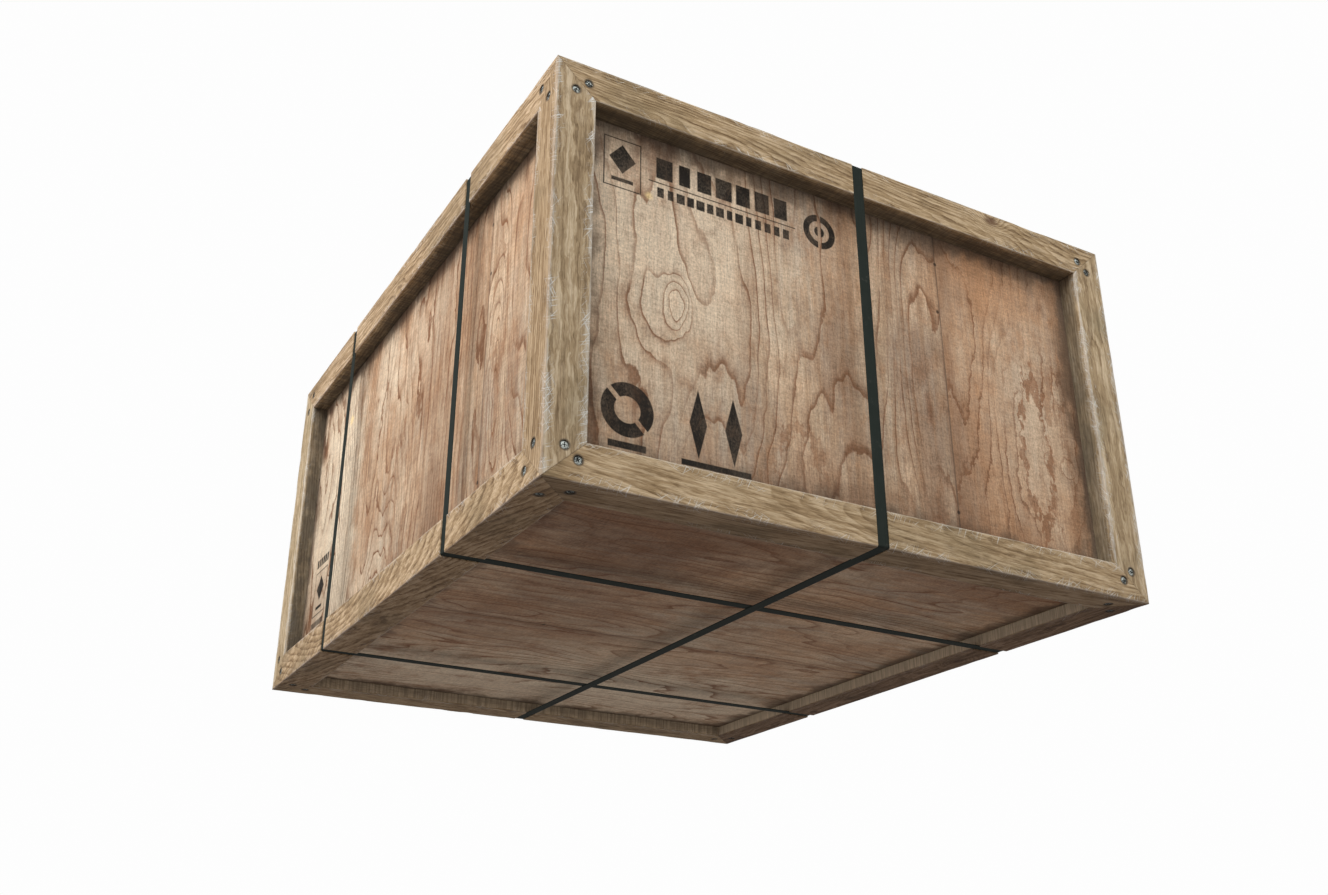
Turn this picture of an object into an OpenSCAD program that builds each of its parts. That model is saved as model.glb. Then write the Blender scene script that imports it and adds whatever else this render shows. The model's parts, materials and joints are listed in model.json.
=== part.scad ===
// Timber shipping crate. Twelve bars with three-way mitred corners make the frame, plywood
// panels sit in grooves in the bars, and three plastic straps run round the outside.
// The top rails, the top panel and the upper lengths of strap lift off together as the lid.
// Millimetres. +Z is up, the origin is the centre of the base, and the front faces -Y.

/* [Crate] */
// Overall width from side to side, along X
crate_w = 1012; // [800:1:1400]
// Overall depth from front to back, along Y
crate_d = 1198; // [900:1:1600]
// Overall height, along Z
crate_h = 620; // [400:1:1000]

/* [Frame bars] */
// Width of the posts, and of the rails seen from above
post_w = 60; // [60:1:75]
// Height of the top and bottom rails
rail_h = 55; // [55:1:70]

/* [Panels] */
// Thickness of the plywood
panel_t = 12; // [9:0.5:12]
// How far the front and back panels lie behind the bars' outer faces
end_recess = 35; // [35:1:40]
// How far the left and right panels lie behind the bars' outer faces
side_recess = 29; // [28:1:40]
// How far the floor and lid panels lie behind the bars' outer faces
floor_recess = 21; // [15:1:25]
// How far each panel's edge goes into the bars
panel_grip = 6; // [4:0.5:6]
// Free space round a panel's edge inside its groove
panel_play = 0.5; // [0.3:0.1:0.8]

/* [Straps] */
// Width of the plastic strap
strap_w = 19; // [12:1:25]
// Thickness of the plastic strap
strap_t = 0.7; // [0.5:0.05:0.8]
// Distance of the front and back straps from the middle of the crate
strap_offset = 280; // [150:1:350]
// Height above the base at which the straps part when the lid lifts
strap_part_z = 56; // [56:1:300]

/* [Screws] */
// Diameter of a screw head
head_d = 12; // [10:0.5:12]
// Diameter of a screw shank
shank_d = 4.4; // [3.5:0.1:4.4]
// Length of the screws that join two bars
screw_len = 90; // [75:1:110]
// Length of the screws that stay within a post's head
short_screw_len = 44; // [30:1:44]

/* [Hidden] */

$fn = 48;
half_w = crate_w / 2;
half_d = crate_d / 2;
over = 5;                       // how far a cutting shape runs past the face it cuts

// Grooves
groove_play = 0.2;              // free space on each side of a panel in its groove
groove_w = panel_t + 2 * groove_play;

// Screws. Places are measured inwards from the crate's corner, and the axes of crossing
// screws are kept more than a shank apart.
front_rail_screw = [48.5, 30];  // x, z on the front and back faces, in the rail
front_post_screw = [30, 46.2];  // x, z on the front and back faces, in the post
side_rail_screw = [50.5, 24];   // y, z on the side faces, in the rail
side_post_screw = [26.4, 51.8]; // y, z on the side faces, in the post
flat_x_rail_screw = [54, 32];   // x, y on the top and underside, in the front or back rail
flat_y_rail_screw = [24.4, 56.5]; // x, y on the top and underside, in the left or right rail
head_sink = 0.6;                // depth of the head's crown below the timber
crown_h = 1.2;                  // height of the head's domed crown
cone_h = 4;                     // height of the head's countersunk cone
tip_h = 9;                      // length of the screw's point
drive_len = 6.4;                // span of the cross recess
drive_w = 1.3;                  // width of the cross recess
drive_h = 2.6;                  // depth of the cross recess
hole_play = 0.3;                // free space round a screw in its hole

// Straps, measured inwards from the bars' outer faces. The centre strap runs outside the
// other two where they cross.
centre_strap_in = 0.8;
side_strap_in = 1.7;
strap_bend_r = 3;               // outer radius of a strap's bend round a bar's edge
bend_step = 15;                 // angle between the points of a bend
seat_play = 0.5;                // free width on each side of a strap in its seat
tail_len = 95;                  // overlapping tail of strap under a seal

// Crimped seals
seal_len = 32;
seal_t = 0.6;
seal_play = 0.1;
crimp_r = 2.2;
crimp_pitch = 11;
centre_seal_y = 120;            // place of the centre strap's seal along Y
side_seal_x = -190;             // place of the other straps' seals along X

// Colours
timber = "#9c8769";
timber_dark = "#8a765b";
plywood = "#b3906f";
strap_green = "#27302c";
zinc = "#6f7775";

// Moves a shape drawn inwards from the left front base corner to another corner
module corner(side, end, level) {
  translate([side * half_w, end * half_d, level > 0 ? crate_h : 0])
    mirror([side > 0 ? 1 : 0, 0, 0])
      mirror([0, end > 0 ? 1 : 0, 0])
        mirror([0, 0, level > 0 ? 1 : 0])
          children();
}

// Puts a shape made for the base on the same place of the lid, mirrored top to bottom
module on_lid() {
  translate([0, 0, crate_h])
    mirror([0, 0, 1])
      children();
}

// ---------------------------------------------------------------- screws

module cross_recess() {
  for (turn = [45, 135])
    rotate([0, 0, turn])
      translate([-drive_len / 2, -drive_w / 2, head_sink - over])
        cube([drive_len, drive_w, drive_h + over]);
}

// A screw driven along +Z, with the timber's face at z = 0
module screw(len) {
  crown_r = (pow(head_d / 2, 2) + pow(crown_h, 2)) / (2 * crown_h);
  rim_z = head_sink + crown_h;
  difference() {
    union() {
      intersection() {
        translate([0, 0, head_sink + crown_r])
          sphere(r = crown_r);
        cylinder(h = rim_z, r = head_d / 2);
      }
      translate([0, 0, rim_z])
        cylinder(h = cone_h, r1 = head_d / 2, r2 = shank_d / 2);
      translate([0, 0, rim_z])
        cylinder(h = len - tip_h - rim_z, r = shank_d / 2);
      translate([0, 0, len - tip_h])
        cylinder(h = tip_h, r1 = shank_d / 2, r2 = 0.4);
    }
    cross_recess();
  }
}

// The hole that a screw sits in
module screw_hole(len) {
  rim_z = head_sink + crown_h;
  hole_r = shank_d / 2 + hole_play;
  head_r = head_d / 2 + hole_play;
  translate([0, 0, -over])
    cylinder(h = rim_z + over, r = head_r);
  translate([0, 0, rim_z])
    cylinder(h = cone_h, r1 = head_r, r2 = hole_r);
  cylinder(h = len + 2, r = hole_r);
}

// Places a shape that points along +Z on the front face, at x and z from the corner
module from_front(place) {
  translate([place[0], 0, place[1]])
    rotate([-90, 0, 0])
      children();
}

// The same on the side face, at y and z from the corner
module from_side(place) {
  translate([0, place[0], place[1]])
    rotate([0, 90, 0])
      children();
}

// The same on the underside, at x and y from the corner
module from_flat(place) {
  translate([place[0], place[1], 0])
    children();
}

// Every screw hole at one corner, measured inwards from it
module corner_holes(post_len) {
  from_front(front_rail_screw) screw_hole(screw_len);
  from_front(front_post_screw) screw_hole(post_len);
  from_side(side_rail_screw) screw_hole(screw_len);
  from_side(side_post_screw) screw_hole(post_len);
  from_flat(flat_x_rail_screw) screw_hole(screw_len);
  from_flat(flat_y_rail_screw) screw_hole(screw_len);
}

module base_holes() {
  for (side = [-1, 1], end = [-1, 1])
    corner(side, end, -1) corner_holes(screw_len);
}

module lid_holes() {
  for (side = [-1, 1], end = [-1, 1])
    corner(side, end, 1) corner_holes(short_screw_len);
}

// ---------------------------------------------------------------- straps

// A rectangle with rounded corners, centred on the origin
module rounded_box(w, h, r) {
  polygon([
    for (k = [0:3], a = [0:bend_step:90])
      let (side = k == 0 || k == 3 ? 1 : -1, level = k < 2 ? 1 : -1)
        [side * (w / 2 - r) + r * cos(90 * k + a), level * (h / 2 - r) + r * sin(90 * k + a)]
  ]);
}

// The space inside a strap that goes round a span of this width, set in by inset
module strap_core(span, inset, width) {
  rotate([90, 0, 90])
    translate([0, crate_h / 2, -width / 2])
      linear_extrude(width)
        rounded_box(span - 2 * inset - 2 * strap_t, crate_h - 2 * inset - 2 * strap_t,
                    strap_bend_r - strap_t);
}

// A closed strap round the YZ section of a crate of this span
module strap_loop(span, inset) {
  difference() {
    rotate([90, 0, 90])
      translate([0, crate_h / 2, -strap_w / 2])
        linear_extrude(strap_w)
          rounded_box(span - 2 * inset, crate_h - 2 * inset, strap_bend_r);
    strap_core(span, inset, strap_w + 2 * over);
  }
}

// The shallow seat that a strap cuts in the bars
module strap_seat(span, inset) {
  seat_w = strap_w + 2 * seat_play;
  difference() {
    translate([-seat_w / 2, -span / 2 - over, -over])
      cube([seat_w, span + 2 * over, crate_h + 2 * over]);
    strap_core(span, inset, seat_w + 2 * over);
  }
}

// Turns a strap made for the centre so that it runs from side to side, at this Y
module side_to_side(y) {
  translate([0, y, 0])
    rotate([0, 0, -90])
      children();
}

module strap_seats() {
  strap_seat(crate_d, centre_strap_in);
  for (y = [-strap_offset, strap_offset])
    side_to_side(y) strap_seat(crate_w, side_strap_in);
}

module below_parting() {
  intersection() {
    children();
    translate([-crate_w, -crate_d, -over])
      cube([2 * crate_w, 2 * crate_d, strap_part_z + over]);
  }
}

module above_parting() {
  difference() {
    children();
    translate([-crate_w, -crate_d, -over])
      cube([2 * crate_w, 2 * crate_d, strap_part_z + over]);
  }
}

// The strap's end, doubled under the run across the top, centred on y
module strap_tail(inset, y) {
  translate([-strap_w / 2, y - tail_len / 2, crate_h - inset - 2 * strap_t])
    cube([strap_w, tail_len, strap_t]);
}

// A folded metal sleeve crimped on the doubled strap, centred on y
module seal(inset, y) {
  inner_w = strap_w + 2 * seal_play;
  inner_h = 2 * strap_t + 2 * seal_play;
  low = crate_h - inset - 2 * strap_t - seal_play;
  translate([0, y - seal_len / 2, low])
    difference() {
      translate([-inner_w / 2 - seal_t, 0, -seal_t])
        cube([inner_w + 2 * seal_t, seal_len, inner_h + 2 * seal_t]);
      translate([-inner_w / 2, -over, 0])
        cube([inner_w, seal_len + 2 * over, inner_h]);
      for (edge = [-1, 1], k = [-0.5, 0.5])
        translate([edge * (inner_w / 2 + seal_t + crimp_r / 2), seal_len / 2 + k * crimp_pitch, -over])
          cylinder(h = inner_h + 2 * over, r = crimp_r);
    }
}

// ---------------------------------------------------------------- bars

// A rail along X at the front of the base, its ends mitred to meet a post and a side rail
module x_rail() {
  difference() {
    intersection() {
      linear_extrude(rail_h)
        polygon([[-half_w, -half_d], [half_w, -half_d],
                 [half_w - post_w, -half_d + post_w], [-half_w + post_w, -half_d + post_w]]);
      translate([0, -half_d + post_w, 0])
        rotate([90, 0, 0])
          linear_extrude(post_w)
            polygon([[-half_w, 0], [half_w, 0], [half_w - post_w, rail_h], [-half_w + post_w, rail_h]]);
    }
    end_panel_groove();
    floor_panel_groove();
  }
}

// A rail along Y at the left of the base, mitred like the others
module y_rail() {
  difference() {
    intersection() {
      linear_extrude(rail_h)
        polygon([[-half_w, -half_d], [-half_w + post_w, -half_d + post_w],
                 [-half_w + post_w, half_d - post_w], [-half_w, half_d]]);
      translate([-half_w, 0, 0])
        rotate([90, 0, 90])
          linear_extrude(post_w)
            polygon([[-half_d, 0], [half_d, 0], [half_d - post_w, rail_h], [-half_d + post_w, rail_h]]);
    }
    side_panel_groove();
    floor_panel_groove();
  }
}

// The post at the left front corner, mitred at both ends
module post() {
  difference() {
    intersection() {
      translate([0, -half_d + post_w, 0])
        rotate([90, 0, 0])
          linear_extrude(post_w)
            polygon([[-half_w, 0], [-half_w + post_w, rail_h],
                     [-half_w + post_w, crate_h - rail_h], [-half_w, crate_h]]);
      translate([-half_w, 0, 0])
        rotate([90, 0, 90])
          linear_extrude(post_w)
            polygon([[-half_d, 0], [-half_d + post_w, rail_h],
                     [-half_d + post_w, crate_h - rail_h], [-half_d, crate_h]]);
    }
    end_panel_groove();
    side_panel_groove();
  }
}

// ---------------------------------------------------------------- panels and grooves

// A panel's box, standing at this depth inside the front face
module end_slab(thick, depth, spare) {
  edge_x = post_w - panel_grip + spare;
  edge_z = rail_h - panel_grip + spare;
  translate([-half_w + edge_x, -half_d + depth, edge_z])
    cube([crate_w - 2 * edge_x, thick, crate_h - 2 * edge_z]);
}

module side_slab(thick, depth, spare) {
  edge_y = post_w - panel_grip + spare;
  edge_z = rail_h - panel_grip + spare;
  translate([-half_w + depth, -half_d + edge_y, edge_z])
    cube([thick, crate_d - 2 * edge_y, crate_h - 2 * edge_z]);
}

module floor_slab(thick, depth, spare) {
  edge = post_w - panel_grip + spare;
  translate([-half_w + edge, -half_d + edge, depth])
    cube([crate_w - 2 * edge, crate_d - 2 * edge, thick]);
}

module end_panel_groove() { end_slab(groove_w, end_recess - groove_play, 0); }
module side_panel_groove() { side_slab(groove_w, side_recess - groove_play, 0); }
module floor_panel_groove() { floor_slab(groove_w, floor_recess - groove_play, 0); }

// ---------------------------------------------------------------- base

module base_bar() {
  difference() {
    children();
    base_holes();
    strap_seats();
  }
}

module front_base_rail() { color(timber) base_bar() x_rail(); }
module back_base_rail() { color(timber) base_bar() mirror([0, 1, 0]) x_rail(); }
module left_base_rail() { color(timber_dark) base_bar() y_rail(); }
module right_base_rail() { color(timber_dark) base_bar() mirror([1, 0, 0]) y_rail(); }

module corner_post(side, end) {
  color(timber)
    difference() {
      mirror([side > 0 ? 1 : 0, 0, 0])
        mirror([0, end > 0 ? 1 : 0, 0])
          post();
      corner(side, end, -1) corner_holes(screw_len);
      corner(side, end, 1) corner_holes(short_screw_len);
    }
}

module front_left_post() { corner_post(-1, -1); }
module front_right_post() { corner_post(1, -1); }
module back_left_post() { corner_post(-1, 1); }
module back_right_post() { corner_post(1, 1); }

module floor_panel() { color(plywood) floor_slab(panel_t, floor_recess, panel_play); }
module front_panel() { color(plywood) end_slab(panel_t, end_recess, panel_play); }
module back_panel() { color(plywood) mirror([0, 1, 0]) end_slab(panel_t, end_recess, panel_play); }
module left_panel() { color(plywood) side_slab(panel_t, side_recess, panel_play); }
module right_panel() { color(plywood) mirror([1, 0, 0]) side_slab(panel_t, side_recess, panel_play); }

module base_front_back_screws() {
  color(zinc)
    for (side = [-1, 1], end = [-1, 1])
      corner(side, end, -1) {
        from_front(front_rail_screw) screw(screw_len);
        from_front(front_post_screw) screw(screw_len);
      }
}

module base_side_screws() {
  color(zinc)
    for (side = [-1, 1], end = [-1, 1])
      corner(side, end, -1) {
        from_side(side_rail_screw) screw(screw_len);
        from_side(side_post_screw) screw(screw_len);
      }
}

module base_underside_screws() {
  color(zinc)
    for (side = [-1, 1], end = [-1, 1])
      corner(side, end, -1) {
        from_flat(flat_x_rail_screw) screw(screw_len);
        from_flat(flat_y_rail_screw) screw(screw_len);
      }
}

// Short screws that pin the grain of each post's mitred head and leave the lid free
module post_head_screws() {
  color(zinc)
    for (side = [-1, 1], end = [-1, 1])
      corner(side, end, 1) {
        from_front(front_post_screw) screw(short_screw_len);
        from_side(side_post_screw) screw(short_screw_len);
      }
}

module centre_strap_lower() { color(strap_green) below_parting() strap_loop(crate_d, centre_strap_in); }
module side_strap_lower(y) {
  color(strap_green) below_parting() side_to_side(y) strap_loop(crate_w, side_strap_in);
}
module front_strap_lower() { side_strap_lower(-strap_offset); }
module back_strap_lower() { side_strap_lower(strap_offset); }

// ---------------------------------------------------------------- lid

module lid_bar() {
  difference() {
    on_lid() children();
    lid_holes();
    strap_seats();
  }
}

module front_lid_rail() { color(timber) lid_bar() x_rail(); }
module back_lid_rail() { color(timber) lid_bar() mirror([0, 1, 0]) x_rail(); }
module left_lid_rail() { color(timber_dark) lid_bar() y_rail(); }
module right_lid_rail() { color(timber_dark) lid_bar() mirror([1, 0, 0]) y_rail(); }
module lid_panel() { color(plywood) on_lid() floor_slab(panel_t, floor_recess, panel_play); }

module lid_front_back_screws() {
  color(zinc)
    for (side = [-1, 1], end = [-1, 1])
      corner(side, end, 1) from_front(front_rail_screw) screw(screw_len);
}

module lid_side_screws() {
  color(zinc)
    for (side = [-1, 1], end = [-1, 1])
      corner(side, end, 1) from_side(side_rail_screw) screw(screw_len);
}

// The screws that hold the lid down, through its rails into the posts
module lid_hold_down_screws() {
  color(zinc)
    for (side = [-1, 1], end = [-1, 1])
      corner(side, end, 1) {
        from_flat(flat_x_rail_screw) screw(screw_len);
        from_flat(flat_y_rail_screw) screw(screw_len);
      }
}

module centre_strap_upper() {
  color(strap_green) {
    above_parting() strap_loop(crate_d, centre_strap_in);
    strap_tail(centre_strap_in, centre_seal_y);
  }
}

module side_strap_upper(y) {
  color(strap_green)
    side_to_side(y) {
      above_parting() strap_loop(crate_w, side_strap_in);
      strap_tail(side_strap_in, side_seal_x);
    }
}
module front_strap_upper() { side_strap_upper(-strap_offset); }
module back_strap_upper() { side_strap_upper(strap_offset); }

module strap_seals() {
  color(zinc) {
    seal(centre_strap_in, centre_seal_y);
    for (y = [-strap_offset, strap_offset])
      side_to_side(y) seal(side_strap_in, side_seal_x);
  }
}

front_base_rail();
back_base_rail();
left_base_rail();
right_base_rail();
front_left_post();
front_right_post();
back_left_post();
back_right_post();
floor_panel();
front_panel();
back_panel();
left_panel();
right_panel();
base_front_back_screws();
base_side_screws();
base_underside_screws();
post_head_screws();
centre_strap_lower();
front_strap_lower();
back_strap_lower();
front_lid_rail();
back_lid_rail();
left_lid_rail();
right_lid_rail();
lid_panel();
lid_front_back_screws();
lid_side_screws();
lid_hold_down_screws();
centre_strap_upper();
front_strap_upper();
back_strap_upper();
strap_seals();
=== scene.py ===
"""Looks of the timber shipping crate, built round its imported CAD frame. Metres throughout."""

import json
import math
from functools import partial, reduce

import bmesh
import bpy
import numpy as np
from mathutils import Matrix, Vector


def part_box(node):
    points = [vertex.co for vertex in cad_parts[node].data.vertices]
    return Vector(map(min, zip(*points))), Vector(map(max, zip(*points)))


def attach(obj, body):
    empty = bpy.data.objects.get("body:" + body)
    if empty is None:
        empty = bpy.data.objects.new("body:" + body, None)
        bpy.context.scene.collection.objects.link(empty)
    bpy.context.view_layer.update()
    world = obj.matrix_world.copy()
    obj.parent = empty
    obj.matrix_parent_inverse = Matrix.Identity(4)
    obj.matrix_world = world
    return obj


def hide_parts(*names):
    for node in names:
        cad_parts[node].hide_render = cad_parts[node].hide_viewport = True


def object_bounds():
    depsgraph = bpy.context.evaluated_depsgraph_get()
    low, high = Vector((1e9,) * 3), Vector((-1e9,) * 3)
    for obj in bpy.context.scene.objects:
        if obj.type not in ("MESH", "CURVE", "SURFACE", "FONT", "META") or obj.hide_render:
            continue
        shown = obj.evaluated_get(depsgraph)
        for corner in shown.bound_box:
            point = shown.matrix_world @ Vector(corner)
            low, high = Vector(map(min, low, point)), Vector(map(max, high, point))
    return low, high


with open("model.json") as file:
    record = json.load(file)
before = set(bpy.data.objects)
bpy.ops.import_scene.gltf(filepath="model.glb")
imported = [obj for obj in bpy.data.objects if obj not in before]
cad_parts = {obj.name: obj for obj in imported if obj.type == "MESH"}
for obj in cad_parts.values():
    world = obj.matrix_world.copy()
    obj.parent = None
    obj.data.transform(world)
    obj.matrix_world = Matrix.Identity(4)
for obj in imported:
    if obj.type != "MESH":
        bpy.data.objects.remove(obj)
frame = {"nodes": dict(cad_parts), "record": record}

MM = 0.001
CAD_LO, CAD_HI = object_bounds()
MID = (CAD_LO + CAD_HI) / 2
HALF = (CAD_HI - CAD_LO) / 2
NODES = frame["nodes"]
BODY = {node: body for body, nodes in frame["record"]["behaviour"]["bodies"].items() for node in nodes}

RAILS = sorted(n for n in NODES if n.endswith("_rail"))
POSTS = sorted(n for n in NODES if n.endswith("_post"))
PANELS = sorted(n for n in NODES if n.endswith("_panel"))
SCREWS = sorted(n for n in NODES if n.endswith("_screws"))
STRAPS = sorted(n for n in NODES if "_strap_" in n)

# Bars
STATION_STEP = 5 * MM  # spacing of the rings of points along a bar
GRADES = (0, 0.007, 0.018, 0.036, 0.065, 0.12, 0.22, 0.35)  # shares of a bar's width, to its middle
EDGE_ROUND = 0.7 * MM  # least rounding of a bar's edges
EDGE_WANDER = 0.6 * MM  # how much more the rounding comes to in places
EDGE_WORN = 4.5 * MM  # most rounding, where an edge is bruised
INNER_WORN = 0.5  # how bruised the other edges are, beside the crate's own edge
MITRE_GAP = 0.06 * MM  # hairline gap on each side of a mitre
MITRE_CHAMFER = 0.2 * MM  # broken edge round a mitred end
SAWN_WAVE = 0.008  # share by which a bar's section shrinks and swells
SAWN_PERIODS = (0.17, 0.035)  # lengths of that shrinking and swelling, in metres
EDGE_PERIOD = 0.06  # length of the slow changes in an edge's rounding
BRUISE_PERIOD, BRUISED_PERIOD = 0.028, 0.21  # lengths of the bruises and of the stretches that have them

# Panels
SHEET_STEP = 9 * MM
SHEET_CHAMFER = 0.5 * MM
SHEET_WAVE = 0.3 * MM
SHEET_PERIODS = (0.11, 0.17)  # lengths of the waves across and along a sheet, in metres
SEAM_DEPTH = 0.4 * MM
SEAM_HALF = 1.3 * MM  # half width of the groove at a veneer joint
GROOVE_PLAY = 0.2 * MM  # free space beside a panel in its groove
PANEL_PLAY = 0.5 * MM  # free space at a panel's edge

# Straps
STRAP_THICK = 0.7 * MM
STRAP_EDGE = 0.18 * MM  # rounding of a strap's edges
STRAP_BEND = 3 * MM  # outer radius where a strap bends round a bar
STRAP_STEP = 12 * MM
STRAP_TAIL = 95 * MM  # doubled end under a seal
TAIL_GAP = 0.01 * MM
SEAL_EASE = 0.12 * MM  # bevel on a seal's edges
BEND_STEPS, SEAT_STEPS = 10, 6
SEAT_PLAY = 0.5 * MM
FLOOR_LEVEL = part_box("floor_panel")[0].z - CAD_LO.z

# Screws
HEAD_R = 6 * MM
CROWN_TOP = 0.6 * MM  # depth of the crown below the timber's face
CROWN_H = 1.2 * MM
DOME_RINGS = (0.05, 0.3, 0.5, 0.68, 0.82, 0.93, 0.985)  # shares of the head's radius
CONE_H = 4 * MM
SHANK_R = 2.2 * MM
THREAD_DEPTH = 0.55 * MM
THREAD_PITCH = 2.6 * MM
THREAD_FLANK = 2.6  # steepness of the thread's sides
TIP_LEN = 9 * MM
SCREW_SIDES = 20
THREAD_ROWS = 5  # rings of points in one turn of the thread
CROSS_SPAN = 6.4 * MM
CROSS_WIDTH = 1.3 * MM
CROSS_DEPTH = 2.6 * MM
HOLE_PLAY = 0.3 * MM
HOLE_SIDES = 28
HOLE_DEEPER = 2 * MM  # how far a hole goes on past the screw's tip
OVER = 5 * MM  # how far a cutter runs past the face it cuts

# Colours, linear
TIMBER_PALE = (0.58, 0.44, 0.285)
TIMBER_MID = (0.385, 0.268, 0.150)
TIMBER_DARK = (0.150, 0.092, 0.046)
TIMBER_OLIVE = (0.25, 0.195, 0.115)
TIMBER_KNOT = (0.13, 0.068, 0.040)
SCUFFED = (0.60, 0.545, 0.47)
SCRATCHED = (0.74, 0.71, 0.65)
# dark colour for grime, and for painted shade in the recesses and along the panels' edges
GRIME_AND_SHADE = (0.052, 0.046, 0.038)
# tint that darkens and reddens the underside faces
UNDERSIDE_TINT = (0.26, 0.185, 0.175)
BARE_TIMBER = (0.66, 0.53, 0.385)
PLY_BLEACHED = (0.70, 0.60, 0.455)
PLY_PALE = (0.66, 0.51, 0.36)
PLY_MID = (0.46, 0.325, 0.21)
PLY_GREY = (0.46, 0.375, 0.285)
PLY_ORANGE = (0.46, 0.26, 0.14)
PLY_LINE = (0.19, 0.090, 0.045)
PLY_STAIN_AND_SHADE = (0.16, 0.075, 0.038)
PLY_RUST = (0.27, 0.135, 0.070)
STAIN_YELLOW = (0.78, 0.60, 0.30)
INK = (0.020, 0.017, 0.014)
STRAP_GREEN = (0.023, 0.030, 0.026)
STRAP_FADED = (0.027, 0.034, 0.030)
STRAP_DARK = (0.012, 0.016, 0.014)
DUST = (0.16, 0.15, 0.13)
ZINC = (0.60, 0.66, 0.63)
SEAL_STEEL = (0.36, 0.37, 0.36)
UNGLINTED_SHARE = 0.12  # how bright the metal is between its painted glints, beside its plain colour
UNDERSIDE_SCREW_SHADE = 0.42  # painted shade: how bright the screws on the underside are, beside the others
SCREW_DIRT = (0.02, 0.019, 0.016)
RUST = (0.10, 0.045, 0.02)
NAIL_RUST = (0.03, 0.022, 0.018)
LATTICE = 1300.0  # pitch of the straps' embossing, radians per metre


# ---- meshes

def link(name, data):
    obj = bpy.data.objects.new(name, data)
    bpy.context.scene.collection.objects.link(obj)
    return obj


def new_object(name, verts, faces):
    mesh = bpy.data.meshes.new(name)
    mesh.from_pydata([tuple(v) for v in verts], [], [tuple(f) for f in faces])
    work = bmesh.new()
    work.from_mesh(mesh)
    bmesh.ops.recalc_face_normals(work, faces=work.faces)
    work.to_mesh(mesh)
    work.free()
    return link(name, mesh)


def skin(rows, count):
    """Faces between the rows of a tube of rows rings with count points each."""
    return [(s * count + k, s * count + (k + 1) % count, (s + 1) * count + (k + 1) % count,
             (s + 1) * count + k) for s in range(rows - 1) for k in range(count)]


def rim(nu, nv):
    """Indices of the points round the edge of a grid, in order."""
    return ([(i, 0) for i in range(nu - 1)] + [(nu - 1, j) for j in range(nv - 1)]
            + [(i, nv - 1) for i in range(nu - 1, 0, -1)] + [(0, j) for j in range(nv - 1, 0, -1)])


def cut(obj, cutters):
    """Takes the cutters away from obj, one after the other."""
    for k, cutter in enumerate(cutters):
        step = obj.modifiers.new(f"cut{k}", "BOOLEAN")
        step.operation = "DIFFERENCE"
        step.solver = "MANIFOLD"
        step.object = cutter
    bpy.context.view_layer.update()
    shown = obj.evaluated_get(bpy.context.evaluated_depsgraph_get())
    mesh = bpy.data.meshes.new_from_object(shown)
    obj.modifiers.clear()
    old, obj.data = obj.data, mesh
    bpy.data.meshes.remove(old)


def remove(objects):
    for obj in objects:
        bpy.data.objects.remove(obj)


def finish_piece(obj, node, material, sharp=38):
    """Shades obj smooth, but for edges sharper than an angle, and puts it in the place of a CAD node."""
    mesh = obj.data
    mesh.polygons.foreach_set("use_smooth", [True] * len(mesh.polygons))
    mesh.set_sharp_from_angle(angle=math.radians(sharp))
    mesh.materials.clear()
    mesh.materials.append(material)
    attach(obj, BODY[node])
    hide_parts(node)


def seeded(name):
    return np.random.RandomState(sum((k + 1) * ord(c) for k, c in enumerate(name)) % 100003)


def wander(rng, at, period):
    """Smooth noise from 0 to 1 at the places in at, with bumps about a period long."""
    at = np.asarray(at, float) / period
    table = rng.rand(int(math.ceil(at.max() - at.min())) + 3)
    at = at - at.min()
    k = np.floor(at).astype(int)
    t = at - k
    t = t * t * (3 - 2 * t)
    return table[k] * (1 - t) + table[k + 1] * t


def boxes(name, spans):
    """One mesh of separate boxes, each given by its lowest and highest corner."""
    verts, faces = [], []
    for lo, hi in spans:
        base = len(verts)
        verts += [[(lo, hi)[(k >> axis) & 1][axis] for axis in range(3)] for k in range(8)]
        faces += [[base + k for k in quad] for quad in
                  ((0, 1, 3, 2), (4, 6, 7, 5), (0, 4, 5, 1), (2, 3, 7, 6), (0, 2, 6, 4), (1, 5, 7, 3))]
    return new_object(name, verts, faces)


# ---- bars

def corner_size():
    """Size of the block where three bars meet, along X, Y and Z."""
    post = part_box(POSTS[0])
    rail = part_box(RAILS[0])
    return Vector((post[1].x - post[0].x, post[1].y - post[0].y, rail[1].z - rail[0].z))


CORNER = corner_size()


def bar_axes(node):
    """(axis along the bar, its two cross axes, the side of the crate it is on for each of those)."""
    lo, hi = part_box(node)
    size = hi - lo
    along = max(range(3), key=lambda k: size[k])
    cross = [k for k in range(3) if k != along]
    sides = [1 if lo[k] + hi[k] > 2 * MID[k] else -1 for k in cross]
    return along, cross, sides


def round_corners(points, radii):
    """Rounds the corners of the unit square that points (.., 2) fill; radii is (.., 4)."""
    out = points.copy()
    for k, corner in enumerate(((0, 0), (1, 0), (1, 1), (0, 1))):
        away = np.abs(points - np.array(corner))
        radius = radii[..., k:k + 1]
        reach = radius - away
        inside = (reach > 0).all(-1, keepdims=True)
        longest = reach.max(-1, keepdims=True)
        length = np.maximum(np.linalg.norm(reach, axis=-1, keepdims=True), 1e-9)
        moved = radius - reach * longest / length
        toward = 1 - 2 * np.array(corner)
        out = np.where(inside, np.array(corner) + toward * moved, out)
    return out


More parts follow.
